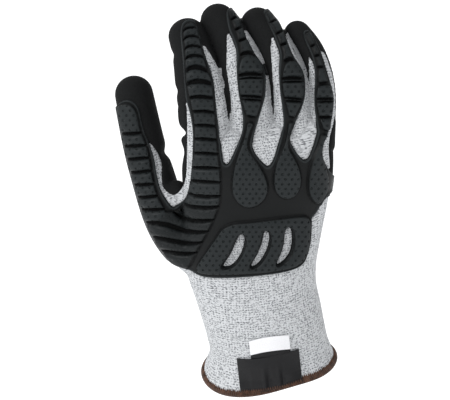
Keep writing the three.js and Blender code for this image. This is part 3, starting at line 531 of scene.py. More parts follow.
def raw_body():
    points, faces = [], []
    parts = [hand_rings(), *[stall_rings(stall) for stall in STALLS.values()], *bulges()]
    for rings in parts:
        more, skin = loft(rings)
        start = len(points)
        points.extend(more)
        faces.extend(tuple(start + k for k in face) for face in skin)
    return np.array(points), faces


def applied(made, name, kind, **settings):
    modifier = made.modifiers.new(name, kind)
    for key, value in settings.items():
        setattr(modifier, key, value)
    graph = bpy.context.evaluated_depsgraph_get()
    mesh = bpy.data.meshes.new_from_object(made.evaluated_get(graph))
    made.modifiers.clear()
    old = made.data
    made.data = mesh
    bpy.data.meshes.remove(old)


def arrays(made):
    """A mesh's points, in millimetres, and its faces as rows of four corners."""
    mesh = made.data
    points = np.empty(len(mesh.vertices) * 3)
    mesh.vertices.foreach_get("co", points)
    corners = np.empty(len(mesh.loops), int)
    mesh.loops.foreach_get("vertex_index", corners)
    return points.reshape(-1, 3), corners.reshape(-1, 4)


def body_mesh(grain):
    """The whole glove's outer surface as quads, with the creases between its parts softened."""
    made = new_object("body", *raw_body())
    applied(made, "joined", "REMESH", mode="VOXEL", voxel_size=grain)
    points, quads = arrays(made)
    points = creased(filled(relaxed(points, quads), quads), quads)
    mesh = made.data
    bpy.data.objects.remove(made)
    bpy.data.meshes.remove(mesh)
    return points, quads


def creased(points, quads):
    """Pinched in where the fingers bend, at places on the front view."""
    normals, spots = quad_normals(points, quads, 2), on_front(points)
    for x, y, depth, tall in CREASES:
        away = ((spots[:, 0] - x) / CREASE_REACH) ** 2 + ((spots[:, 1] - y) / tall) ** 2
        points = points - normals * (depth * np.exp(-away))[:, None]
    return points


def filled(points, quads):
    """Smoothed in front, where the layers run across a crease without following it."""
    normals, spots = quad_normals(points, quads, 2), on_front(points)
    share = np.zeros(len(points))
    for x, y, wide, tall in FILLED:
        near = np.exp(-((spots[:, 0] - x) / wide) ** 4 - ((spots[:, 1] - y) / tall) ** 4)
        share = np.maximum(share, near)
    share = (share * smooth(0.0, 0.3, normals @ VIEW_OUT))[:, None]
    pairs, count = neighbours(points, quads)
    for _ in range(FILL_ROUNDS):
        points = points + FILL_PULL * share * (spread(points, pairs, count) - points)
    return points


def quad_sides(quads):
    """The sides of the quads as pairs of points: all first sides, all second ones and so on."""
    return np.concatenate([quads[:, [0, 1]], quads[:, [1, 2]], quads[:, [2, 3]], quads[:, [3, 0]]])


def neighbours(points, quads):
    """The quads' sides both ways, and how many of them start at each point."""
    sides = quad_sides(quads)
    pairs = np.concatenate([sides, sides[:, ::-1]])
    return pairs, np.maximum(np.bincount(pairs[:, 0], minlength=len(points)), 1)[:, None]


def spread(values, pairs, count):
    """The mean of the neighbours' values."""
    total = np.zeros_like(values)
    np.add.at(total, pairs[:, 0], values[pairs[:, 1]])
    return total / count


def relaxed(points, quads):
    """Smoothing that pushes back out about as far as it pulls in."""
    pairs, count = neighbours(points, quads)
    for _ in range(BODY_ROUNDS):
        for pull in RELAX_PULLS:
            points = points + pull * (spread(points, pairs, count) - points)
    return points


def quad_normals(points, quads, rounds=0):
    a, b, c, d = (points[quads[:, k]] for k in range(4))
    flat = np.cross(c - a, d - b)
    normals = np.zeros_like(points)
    for k in range(4):
        np.add.at(normals, quads[:, k], flat)
    normals = unit(normals)
    pairs, count = neighbours(points, quads)
    for _ in range(rounds):
        normals = unit(normals + spread(normals, pairs, count))
    return normals


# Distances on the front view
def rounded(outline, rounds=2):
    """The outline with its corners cut, so many times."""
    points = np.array(outline, float)
    for _ in range(rounds):
        following = np.roll(points, -1, axis=0)
        early, late = points * 0.75 + following * 0.25, points * 0.25 + following * 0.75
        points = np.stack([early, late], axis=1).reshape(-1, 2)
    return points


def inside_by(spots, outline, reach=14.0):
    """How far inside an outline each spot is, in millimetres; minus that outside."""
    points = rounded(outline)
    found = np.full(len(spots), -reach * STEP)
    low, high = points.min(0) - reach, points.max(0) + reach
    near = np.where(((spots > low) & (spots < high)).all(1))[0]
    if len(near) == 0:
        return found
    place = spots[near]
    best = np.full(len(near), 1e9)
    within = np.zeros(len(near), bool)
    for start, end in zip(points, np.roll(points, -1, axis=0)):
        step = end - start
        t = np.clip(((place - start) @ step) / max(step @ step, 1e-9), 0, 1)
        away = place - start - t[:, None] * step
        best = np.minimum(best, (away * away).sum(1))
        crosses = (start[1] > place[:, 1]) != (end[1] > place[:, 1])
        if step[1] != 0:
            within ^= crosses & (place[:, 0] < start[0] + (place[:, 1] - start[1]) * step[0] / step[1])
    found[near] = np.sqrt(best) * np.where(within, 1, -1) * STEP
    return found


def groove_depth(spots, line, wide, soft=0.5):
    """1 in the middle of a groove, 0 outside it; the groove narrows towards its ends."""
    points = np.array(line, float)
    depth = np.zeros(len(spots))
    low, high = points.min(0) - wide - 2, points.max(0) + wide + 2
    near = np.where(((spots > low) & (spots < high)).all(1))[0]
    if len(near) == 0:
        return depth
    place = spots[near]
    lengths = np.linalg.norm(np.diff(points, axis=0), axis=1)
    along = np.concatenate([[0], np.cumsum(lengths)])
    best = np.full(len(near), 1e9)
    share = np.zeros(len(near))
    for k, (start, end) in enumerate(zip(points, points[1:])):
        step = end - start
        t = np.clip(((place - start) @ step) / max(step @ step, 1e-9), 0, 1)
        away = np.linalg.norm(place - start - t[:, None] * step, axis=1)
        closer = away < best
        best = np.where(closer, away, best)
        share = np.where(closer, (along[k] + t * lengths[k]) / along[-1], share)
    half = wide * GROOVE_WIDEN / 2 * (1 - TAPER * np.abs(2 * share - 1) ** TAPER_POWER)
    depth[near] = 1 - smooth(half - soft, half + soft, best)
    return depth


def dimple_depth(spots):
    row = np.round(spots[:, 1] / DIMPLE_DOWN)
    shift = np.where(row % 2 == 0, 0, DIMPLE_ACROSS / 2)
    column = np.round((spots[:, 0] - shift) / DIMPLE_ACROSS)
    middle = np.stack([column * DIMPLE_ACROSS + shift, row * DIMPLE_DOWN], axis=1)
    away = np.linalg.norm(spots - middle, axis=1)
    return 1 - smooth(DIMPLE_FLAT, DIMPLE_RADIUS, away)


# Where each point of the body belongs
def nearest_on(line, points):
    """The number of the line's sample that is nearest to each point."""
    best = np.full(len(points), 1e9)
    index = np.zeros(len(points), int)
    for k, sample in enumerate(line):
        away = ((points - sample) ** 2).sum(1)
        closer = away < best
        best = np.where(closer, away, best)
        index = np.where(closer, k, index)
    return index


def stall_place(stall, points):
    """Share along the stall, angle round it from the palm's side, how far outside it, and length."""
    root, bones, widths, depths, _ = stall
    line, tangents, length = bone_line(root, bones, 60)
    index = nearest_on(line, points)
    palmwards, across = crossways(tangents)
    away = points - line[index]
    ahead = (away * tangents[index]).sum(1)
    share = index / (len(line) - 1) + ahead / length
    sideways = (away * across[index]).sum(1)
    deep = (away * palmwards[index]).sum(1)
    wide, thick = at_share(widths, share) / 2, at_share(depths, share) / 2
    size = np.sqrt((sideways / wide) ** 2 + (deep / thick) ** 2)
    outside = (size - 1) * (wide + thick) / 2
    return share, np.arctan2(sideways, deep), np.where(share < 0, 99, outside), length


def outside_hand(points):
    """How far outside the cuff and palm each point is."""
    lowest, highest = sections()[[0, -1], 0]
    rows = hermite(sections(), np.clip(points[:, 2], lowest, highest))
    wide = np.where(points[:, 0] < 0, rows[:, 1], rows[:, 2])
    thick = np.where(points[:, 1] < 0, rows[:, 3], rows[:, 4])
    size = np.sqrt((points[:, 0] / wide) ** 2 + (points[:, 1] / thick) ** 2)
    return (size - 1) * (wide + thick) / 2 + np.maximum(points[:, 2] - highest, 0)


def belongings(points):
    """For each point: which part it lies on, and its place on it."""
    best, owner = outside_hand(points), np.full(len(points), -1)
    share, angle, length = np.zeros(len(points)), np.zeros(len(points)), np.zeros(len(points))
    for number, stall in enumerate(STALLS.values()):
        along, turn, out, long = stall_place(stall, points)
        mine = out < best
        best = np.where(mine, out, best)
        owner = np.where(mine, number, owner)
        share = np.where(mine, along, share)
        angle = np.where(mine, turn, angle)
        length = np.where(mine, long, length)
    return owner, share, angle, length


def coated_behind(points, owner, share, angle):
    """How far inside the coating each point is, where the front view doesn't show it."""
    above = points[:, 2] - COAT_ABOVE
    hand = np.minimum(points[:, 1] - COAT_PALMWARDS, above)
    ball = np.minimum(BALL_LEFT - points[:, 0], above)
    found = np.maximum(hand, np.minimum(ball, BALL_TOP - points[:, 2]))
    for number, stall in enumerate(STALLS.values()):
        turn, span, tip = stall.coated
        turned = np.abs((angle + math.radians(turn) + math.pi) % (2 * math.pi) - math.pi)
        round_it = (math.radians(span / 2) - turned) * stall.widths[1] / 2
        over_tip = (share - tip) * TIP_STEEPNESS
        found = np.where(owner == number, np.maximum(round_it, over_tip), found)
    return found


# The layers' heights over the body
def in_view(points, normals, tree):
    """1 where the front view shows a point of the body, and else 0."""
    seen = np.zeros(len(points))
    eye = VIEW_CENTRE + VIEW_OUT * FAR
    for k in np.where(normals @ VIEW_OUT > TURNED_AWAY)[0]:
        way = (eye - points[k]) / np.linalg.norm(eye - points[k])
        start = points[k] + way * SEEN_FROM
        distance = tree.ray_cast(Vector(start), Vector(-way))[3]
        seen[k] = distance is None or distance > SEEN_FROM - SEEN_DEEP
    return seen


def widened(seen, quads):
    """The seen points with their neighbours and the neighbours of those."""
    pairs, _ = neighbours(seen, quads)
    for _ in range(2):
        wider = seen.copy()
        np.maximum.at(wider, pairs[:, 0], seen[pairs[:, 1]])
        seen = wider
    return seen


def guard_distance(points, normals, seen):
    """The points' places on the front view, and how far inside the guard and its slots they are."""
    facing = normals @ VIEW_OUT
    spots = on_front(points + GUARD_LOOK * normals)
    guard = np.max([inside_by(spots, outline) for outline in GUARD.values()], axis=0)
    slots = np.max([inside_by(spots, slot) for slot in SLOTS], axis=0)
    guard = np.minimum(np.minimum(guard, -slots), (facing + GUARD_FACING) * GUARD_TURN)
    at_edge = (facing < EDGE_FACING[1]) & (facing > EDGE_FACING[0])
    return spots, np.where((seen > 0.5) | at_edge, guard, OUTSIDE), slots


def relief_fields(spots, guard, slots, facing):
    """Height above the web, how much each point is grooved and dimpled, and how near it is to where a pad
    meets the web; the last three steer painted shade in grooves, pits and that crease, and the dimpling also
    painted light on the pads.
    """
    reach = (facing - RELIEF_STARTS) * RELIEF_TURN
    top, spotted = np.zeros(len(spots)), np.zeros(len(spots))
    inmost = np.full(len(spots), OUTSIDE)
    for rise, crown, dimpled, outline in RELIEF.values():
        inner = np.minimum(np.minimum(inside_by(spots, outline), reach), -slots - PAD_TO_SLOT)
        dome = 1 - (1 - np.clip(inner / CROWN_REACH, 0, 1)) ** 2
        height = smooth(-0.1, RELIEF_EDGE, inner) * (rise + crown * dome)
        spotted = np.where(height > top, dimpled * smooth(*DIMPLES_FROM, inner), spotted)
        top = np.maximum(top, height)
        inmost = np.maximum(inmost, inner)
    cut, shoulder = np.zeros(len(spots)), np.zeros(len(spots))
    soft = SHOULDER_WIDE / 2
    for wide, line in (groove for finger in GROOVES.values() for groove in finger):
        cut = np.maximum(cut, groove_depth(spots, line, wide))
        if wide > THIN_GROOVE:
            shoulder = np.maximum(shoulder, groove_depth(spots, line, wide + soft, soft))
    spotted = spotted * (1 - smooth(0, 0.3, cut))
    floor = GROOVE_FLOOR * cut * smooth(0, 0.8, guard) * smooth(0.1, 0.5, top)
    dimples = dimple_depth(spots) * spotted * DIMPLE_DEPTH
    raised = top * (1 - cut) * (1 - SHOULDER * shoulder) - floor - dimples
    # Painted shade in the crease where a pad meets the web
    pad_foot_shade = np.exp(-((inmost - FOOT_AT) / FOOT_WIDE) ** 2) * (reach > 0.5)
    return raised, cut * smooth(0.1, 0.5, top), spotted, pad_foot_shade


def coat_distance(points, quads, normals, seen):
    """How far inside the coating each point is: as drawn in front, and by place behind."""
    owner, share, angle, _ = belongings(points)
    behind = np.clip(coated_behind(points, owner, share, angle), -COAT_REACH, COAT_REACH)[:, None]
    pairs, count = neighbours(points, quads)
    for _ in range(COAT_ROUNDS):
        behind = spread(behind, pairs, count)
    spots = on_front(points + COAT_LOOK * normals)
    bare = np.max([inside_by(spots, outline) for outline in BARE.values()], axis=0)
    drawn = np.clip(-bare, -COAT_REACH, COAT_REACH)
    front = smooth(-0.12, 0.0, normals @ VIEW_OUT) * widened(seen, quads)
    return np.minimum(front * drawn + (1 - front) * behind[:, 0], points[:, 2] - COAT_LOWEST)


def guard_height(guard, raised, lip):
    web = -SUNK + (WEB_RISE + SUNK) * smooth(-EDGE_SOFT, EDGE_SOFT, guard)
    return web + LIP_RISE * lip + raised * smooth(0.1, 0.9, guard)


def split_quads(points, quads, values):
    """Each quad cut into four, with the rows of values carried along."""
    edges, back = np.unique(np.sort(quad_sides(quads), axis=1), axis=0, return_inverse=True)
    back = back.reshape(4, -1)
    everything = np.concatenate([points, values], axis=1)
    middles = everything[edges].mean(1)
    centres = everything[quads].mean(1)
    count = len(points)
    centre = count + len(edges) + np.arange(len(quads))
    ab, bc, cd, da = (count + back[k] for k in range(4))
    a, b, c, d = quads.T
    parts = (a, ab, centre, da), (ab, b, bc, centre), (centre, bc, c, cd), (da, centre, cd, d)
    fine = np.concatenate([np.stack(rows, axis=1) for rows in parts])
    together = np.concatenate([everything, middles, centres])
    return together[:, :3], fine, together[:, 3:]


def kept_part(points, quads, keep, values):
    """Only the quads with all their points kept, and the points renumbered."""
    quads = quads[keep[quads].all(1)]
    used = np.unique(quads)
    number = np.full(len(points), -1)
    number[used] = np.arange(len(used))
    return points[used], number[quads], values[used]


def patches(points, quads, near, values, least):
    """The kept part without its loose crumbs of fewer than so many quads."""
    points, quads, values = kept_part(points, quads, near, values)
    label = np.arange(len(points))
    pairs, _ = neighbours(points, quads)
    while True:
        lower = label.copy()
        np.minimum.at(lower, pairs[:, 0], label[pairs[:, 1]])
        lower = lower[lower]
        if (lower == label).all():
            break
        label = lower
    patch = label[quads[:, 0]]
    large = np.bincount(patch, minlength=len(points))[patch] >= least
    return kept_part(points, quads[large], np.ones(len(points), bool), values)


def quad_object(name, points, quads, **details):
    """An object with smooth quads and, by name, rows of three numbers at its points."""
    made = new_object(name, points * MM, [tuple(int(k) for k in row) for row in quads])
    made.data.polygons.foreach_set("use_smooth", np.ones(len(quads), bool))
    for key, rows in details.items():
        carry(made, key, rows)
    return made


def carry(made, key, rows):
    layer = made.data.attributes.new(key, "FLOAT_VECTOR", "POINT")
    layer.data.foreach_set("vector", rows.astype(np.float32).ravel())


# Materials: shades by what they colour, dark before pale where there are two
KNIT_SHADES = (0.46, 0.475, 0.49, 1), (0.66, 0.67, 0.685, 1)
# The stitch colour is painted shade in the hollows between the knit's loops
FLECK, STITCH_PAINTED_SHADE = (0.11, 0.115, 0.125, 1), (0.06, 0.065, 0.075, 1)
COATING_SHADES = (0.0045, 0.0048, 0.005, 1), (0.0135, 0.014, 0.0145, 1)
WEB_SHADES = (0.002, 0.0026, 0.0028, 1), (0.0034, 0.0042, 0.0045, 1)
# Painted light on the guard: its raised pads are painted paler, and its lip gets a paler line as a painted
# highlight
PAD_PAINTED_LIGHT, LIP_PAINTED_HIGHLIGHT = (0.0125, 0.0155, 0.0165, 1), (0.022, 0.0265, 0.028, 1)
# Painted shade in the guard's grooves, in its dimples' pits and where its pads meet the web
GROOVE_PAINTED_SHADE = (0.0006, 0.0007, 0.0008, 1)
# The hem's dark end is reached partly as painted shade between its threads
HEM_SHADES = (0.022, 0.011, 0.007, 1), (0.135, 0.064, 0.038, 1)
LABEL_SHADES = (0.0025, 0.0025, 0.0032, 1), (0.0075, 0.0075, 0.009, 1)
TAB_SHADES = (0.7, 0.7, 0.72, 1), (0.88, 0.88, 0.9, 1)
FLOOR_SHADES = (0.93, 0.93, 0.93, 1), (0.95, 0.95, 0.95, 1)
STUDIO_SHADE = (0.98, 0.99, 1, 1)


class Nodes:
    """A material's node tree, built a node at a time."""

    def __init__(self, name):
        self.material = bpy.data.materials.new(name)
        self.material.use_nodes = True
        self.tree = self.material.node_tree
        self.shader = self.tree.nodes["Principled BSDF"]

    def add(self, kind, inputs=None, **settings):
        node = self.tree.nodes.new(kind)
        for key, value in settings.items():
            setattr(node, key, value)
        for key, value in (inputs or {}).items():
            self.feed(node.inputs[key], value)
        return node

    def feed(self, socket, value):
        if isinstance(value, bpy.types.NodeSocket):
            self.tree.links.new(value, socket)
        else:
            socket.default_value = value

    def math(self, operation, first, second=0.0, third=0.0):
        return self.add("ShaderNodeMath", {0: first, 1: second, 2: third}, operation=operation).outputs[0]

    def times(self, first, second):
        return self.math("MULTIPLY", first, second)

    def plus(self, first, second):
        return self.math("ADD", first, second)

    def minus(self, first, second):
        return self.math("SUBTRACT", first, second)

    def mix(self, share, first, second):
        node = self.add("ShaderNodeMix", data_type="RGBA")
        self.feed(node.inputs[0], share)
        self.feed(node.inputs[6], first)
        self.feed(node.inputs[7], second)
        return node.outputs[2]

    def span(self, value, low, high, start=0.0, end=1.0):
        return self.add("ShaderNodeMapRange", {0: value, 1: low, 2: high, 3: start, 4: end},
                        interpolation_type="SMOOTHSTEP").outputs[0]

    def detail(self, name):
        """The three numbers that the mesh carries at its points under a name, and all as one."""
        rows = self.add("ShaderNodeAttribute", attribute_name=name).outputs["Vector"]
        parts = self.add("ShaderNodeSeparateXYZ", {0: rows})
        return *parts.outputs, rows

    def stitch(self, wale, course, layer, wide, high):
        """Painted shade in the hollows of the stitches: some darker than others, and then all alike."""
        column = self.math("DIVIDE", wale, wide)
        row = self.math("DIVIDE", course, high)
        number = [self.math("FLOOR", value) for value in (column, row)]
        cell = self.add("ShaderNodeCombineXYZ", {0: number[0], 1: number[1], 2: layer}).outputs[0]
        chance = self.add("ShaderNodeTexWhiteNoise", {"Vector": cell}, noise_dimensions="3D").outputs["Color"]
        shift = self.add("ShaderNodeSeparateColor", {0: chance}).outputs
        across = self.minus(self.math("FRACT", column), self.span(shift[0], 0, 1, 0.38, 0.62))
        along = self.minus(self.math("FRACT", row), self.span(shift[1], 0, 1, 0.4, 0.6))
        long_way = self.times(self.times(along, along), 1.9)
        away = self.math("SQRT", self.plus(self.times(across, across), long_way))
        hollow = self.span(away, 0.16, 0.46, 1.0, 0.0)
        return self.times(hollow, self.span(shift[2], 0.15, 0.95, 0.12, 0.95)), hollow

    def noise(self, place, scale, detail=2.0, rough=0.5):
        return self.add("ShaderNodeTexNoise", {"Vector": place, "Scale": scale, "Detail": detail,
                                               "Roughness": rough}).outputs["Fac"]

    def bump(self, height, strength, distance, normal=None):
        inputs = {"Height": height, "Strength": strength, "Distance": distance}
        if normal is not None:
            inputs["Normal"] = normal
        return self.add("ShaderNodeBump", inputs).outputs[0]

    def finish(self, **inputs):
        for key, value in inputs.items():
            self.feed(self.shader.inputs[key.replace("_", " ")], value)
        return self.material


def place_of(nodes):
    return nodes.add("ShaderNodeTexCoord").outputs["Object"]


def knit_material():
    """Melange yarn: a pale ground with scattered dark stitches, in rows of small loops with painted shade in
    their hollows.
    """
    nodes = Nodes("knit")
    wale, course, layer, _ = nodes.detail("weave")
    squeezed = {0: wale, 1: nodes.times(course, 1.55), 2: layer}
    stretched = nodes.add("ShaderNodeCombineXYZ", squeezed).outputs[0]
    cells = nodes.add("ShaderNodeTexVoronoi", {"Vector": stretched, "Scale": 1.0, "Randomness": 1.0})
    chance = nodes.add("ShaderNodeSeparateColor", {0: cells.outputs["Color"]}).outputs[0]
    near = nodes.span(cells.outputs["Distance"], 0.35, 0.75, 1.0, 0.0)
    dark = nodes.times(nodes.span(chance, 0.25, 0.5, 1.0, 0.0), near)
    fuzz = nodes.noise(stretched, 2.6, 3.0, 0.7)
    ground = nodes.mix(fuzz, *KNIT_SHADES)
    specked = nodes.mix(nodes.times(dark, 0.8), ground, FLECK)
    stitch_painted_shade, side = nodes.stitch(wale, course, layer, WALE, COURSE)
    # Painted shade in the stitches' hollows
    colour = nodes.mix(stitch_painted_shade, specked, STITCH_PAINTED_SHADE)
    height = nodes.minus(nodes.times(fuzz, 0.9), nodes.times(side, 0.9))
    return nodes.finish(Base_Color=colour, Roughness=0.95, Normal=nodes.bump(height, 0.6, 0.0004),
                        Specular_IOR_Level=0.2, Sheen_Weight=0.1, Sheen_Roughness=0.6)


def coating_material():
    """Sandy nitrile: matt black with a fine grain."""
    nodes = Nodes("coating")
    place = place_of(nodes)
    grain = nodes.noise(place, 2600, 2.0, 0.6)
    cloud = nodes.noise(place, 90, 3.0)
    share = nodes.span(nodes.plus(grain, nodes.times(cloud, 0.4)), 0.5, 1.0)
    colour = nodes.mix(share, *COATING_SHADES)
    rough = nodes.span(cloud, 0.3, 0.7, 0.78, 0.92)
    return nodes.finish(Base_Color=colour, Roughness=rough, Normal=nodes.bump(grain, 0.6, 0.0003),
                        Specular_IOR_Level=0.12)


def guard_material():
    """Satin charcoal rubber with moulded dimples; painted shade darkens its grooves, pits and the creases
    where its pads meet the web, the pads are painted paler as painted light, and the lip has a painted
    highlight.
    """
    nodes = Nodes("guard")
    place = place_of(nodes)
    x, y, dimpled, _ = nodes.detail("spot")
    cut, pad_foot_shade, lip, _ = nodes.detail("shade")
    line = nodes.math("ROUND", nodes.math("DIVIDE", y, DIMPLE_DOWN))
    down = nodes.minus(y, nodes.times(line, DIMPLE_DOWN))
    odd = nodes.math("MODULO", nodes.math("ABSOLUTE", line), 2)
    beside = nodes.minus(x, nodes.times(odd, DIMPLE_ACROSS / 2))
    near = nodes.math("ROUND", nodes.math("DIVIDE", beside, DIMPLE_ACROSS))
    across = nodes.minus(beside, nodes.times(near, DIMPLE_ACROSS))
    away = nodes.math("SQRT", nodes.plus(nodes.times(across, across), nodes.times(down, down)))
    # The pits are painted darker as painted shade, and also sink the bump
    pit = nodes.times(nodes.span(away, 0.55, 1.35, 1.0, 0.0), dimpled)
    skin = nodes.noise(place, 1500, 2.0, 0.6)
    cloud = nodes.noise(place, 60, 3.0)
    web = nodes.mix(cloud, *WEB_SHADES)
    # Painted light: the dimpled pads are painted paler than the web
    ground = nodes.mix(nodes.span(dimpled, 0.0, 0.5), web, PAD_PAINTED_LIGHT)
    # Painted highlight along the lip
    lip_highlighted = nodes.mix(nodes.times(lip, 0.8), ground, LIP_PAINTED_HIGHLIGHT)
    # Painted shade in the grooves and where the pads meet the web, and a little in the pits
    groove_and_crease_shade = nodes.math("MAXIMUM", cut, nodes.times(pad_foot_shade, 0.7))
    dark = nodes.math("MAXIMUM", groove_and_crease_shade, nodes.times(pit, 0.25))
    colour = nodes.mix(dark, lip_highlighted, GROOVE_PAINTED_SHADE)
    satin = nodes.span(nodes.plus(cloud, nodes.times(skin, 0.3)), 0.4, 0.9, 0.42, 0.55)
    rough = nodes.plus(satin, nodes.times(dark, 0.4))
    fine = nodes.bump(skin, 0.18, 0.0002)
    return nodes.finish(Base_Color=colour, Roughness=rough, Specular_IOR_Level=0.17,
                        Normal=nodes.bump(nodes.minus(1.0, pit), 0.9, 0.0009, fine))


def thread_material(name, shades, scale, rough, strength, gloss=0.25):
    """Thread or woven tape: fine crossed ribs with a little variation."""
    nodes = Nodes(name)
    u, v, _, weave = nodes.detail("weave")
    across = nodes.math("SINE", nodes.times(u, 2 * math.pi / scale))
    along = nodes.math("SINE", nodes.times(v, 2 * math.pi / scale))
    ribs = nodes.times(across, along)
    fuzz = nodes.noise(weave, 1.6, 3.0, 0.65)
    share = nodes.plus(nodes.times(ribs, 0.18), fuzz)
    colour = nodes.mix(nodes.span(share, 0.2, 0.9), *shades)
    return nodes.finish(Base_Color=colour, Roughness=rough, Specular_IOR_Level=gloss,
                        Normal=nodes.bump(nodes.plus(ribs, fuzz), strength, 0.0002))


# Making the pieces
def weave_of(points, owner, share, angle, length, side_radius=36.0, stall_radius=12.5):
    """Millimetres round the glove and along it, for the rows of the knit."""
    around = np.arctan2(points[:, 0], -points[:, 1]) * side_radius
    on_hand = owner < 0
    across = np.where(on_hand, around, angle * stall_radius)
    along = np.where(on_hand, points[:, 2], share * length)
    return np.stack([across, along, owner * 7.0], axis=1)


def make_knit(tree):
    points, quads = body_mesh(KNIT_GRAIN)
    low = MOUTH_LEVEL - mouth_dip(np.arctan2(points[:, 1], points[:, 0]))
    keep = points[:, 2] > low
    points, quads, _ = kept_part(points, quads, keep, points)
    points = np.array([tree.find_nearest(Vector(point))[0] for point in points])
    normals = quad_normals(points, quads, 3)
    seen = in_view(points, normals, tree)
    guard = guard_distance(points, normals, seen)[1]
    covered = np.maximum(guard, coat_distance(points, quads, normals, seen))
    weave = weave_of(points, *belongings(points))
    points = points - normals * (COVERED_SINK * smooth(0.0, 1.2, covered))[:, None]
    inner = points - normals * KNIT_WALL
    sides = quad_sides(quads)
    _, first, count = np.unique(np.sort(sides, axis=1), axis=0, return_index=True, return_counts=True)
    rim = sides[first[count == 1]]
    total = len(points)
    walls = np.stack([rim[:, 1], rim[:, 0], rim[:, 0] + total, rim[:, 1] + total], axis=1)
    skins = np.concatenate([quads, quads[:, ::-1] + total, walls])
    made = quad_object("knit_liner", np.concatenate([points, inner]), skins,
                       weave=np.concatenate([weave, weave]))
    made.data.materials.append(knit_material())
    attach(made, "root")
    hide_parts("knit_cuff", "knit_hand", "knit_index", "knit_middle", "knit_ring", "knit_little",
                "knit_thumb")


def make_layers():
    """The liner, the coating and the guard, which share the body's surface."""
    points, quads = body_mesh(BODY_GRAIN)
    normals = quad_normals(points, quads, 6)
    faces = [tuple(int(k) for k in row) for row in quads]
    tree = BVHTree.FromPolygons([tuple(p) for p in points], faces)
    seen = in_view(points, normals, tree)
    guard = guard_distance(points, normals, seen)[1]
    coat = coat_distance(points, quads, normals, seen)
    make_knit(tree)
    make_coating(points, quads, normals, coat, guard)
    make_guard(points, quads, normals, guard, seen)


def make_coating(points, quads, normals, coat, guard):
    values = np.concatenate([normals, coat[:, None]], axis=1)
    near = (coat > COAT_KEPT) & (guard < COAT_UNDER_GUARD)
    points, quads, values = patches(points, quads, near, values, COAT_CRUMB)
    normals, coat = unit(values[:, :3]), values[:, 3]
    height = np.clip(coat * 1.1, -0.9, COAT_RISE)
    made = quad_object("palm_dip", points + normals * height[:, None], quads)
    made.data.materials.append(coating_material())
    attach(made, "root")
    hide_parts("palm_coating")


def make_guard(points, quads, normals, guard, seen):
    near = guard > GUARD_KEPT
    values = np.concatenate([normals, seen[:, None]], axis=1)
    points, quads, values = patches(points, quads, near, values, GUARD_CRUMB)
    points, quads, values = split_quads(points, quads, values)
    normals = unit(values[:, :3])
    spots, guard, slots = guard_distance(points, normals, values[:, 3])
    raised, cut, dimpled, pad_foot_shade = relief_fields(spots, guard, slots, normals @ VIEW_OUT)
    lip = np.exp(-((guard - LIP_AT) / LIP_WIDE) ** 2) * (raised < 0.6)
    shaped = points + normals * guard_height(guard, raised, lip)[:, None]
    # The dimpling also steers the pits' painted shade and the pads' painted light
    spot = np.concatenate([spots, dimpled[:, None]], axis=1)
    # Masks for painted shade in the grooves and where pads meet the web, and for the lip's painted highlight
    shade = np.stack([cut, pad_foot_shade, lip], axis=1)
    keep = guard > GUARD_EDGE
    details = np.concatenate([spot, shade], axis=1)
    shaped, quads, details = kept_part(shaped, quads, keep, details)
    made = quad_object("back_of_hand_guard", shaped, quads, spot=details[:, :3], shade=details[:, 3:])
    made.data.materials.append(guard_material())
    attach(made, "root")
    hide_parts("back_guard")


# Hem and labels
MOUTH_LEVEL = 1.2
# How much lower the mouth's edge hangs: depth, angle from the little finger's side, and width
MOUTH_DIPS = [(4.4, -140, 42), (-1.7, -72, 26)]


def mouth_dip(angle):
    found = 0
    for depth, middle, wide in MOUTH_DIPS:
        away = (np.degrees(angle) - middle + 180) % 360 - 180
        found = found + depth * np.exp(-(away / wide) ** 2)
    return found


def cuff_point(angle, height, out):
    """A point on the cuff, out from its surface; the angle is from the little finger's side."""
    row = hermite(sections(), np.atleast_1d(height))
    across, deep = np.cos(angle), np.sin(angle)
    wide = np.where(across < 0, row[:, 1], row[:, 2]) + out
    thick = np.where(deep < 0, row[:, 3], row[:, 4]) + out
    return np.stack([across * wide, deep * thick, np.broadcast_to(height, np.shape(across))], axis=-1)


def cuff_arc(samples=2000):
    """Angles round the cuff's mouth against the length of the way round."""
    angles = np.linspace(0, 2 * math.pi, samples)
    points = cuff_point(angles, np.full(samples, 2.0), 0.0)
    steps = np.linalg.norm(np.diff(points, axis=0), axis=1)
    return angles, np.concatenate([[0], np.cumsum(steps)])


# The hem's stitches: how much each thread stands out, how it leans and how far its loop rises
RIDGE, LEAN, TOOTH = 0.22, 2.4, 1.5


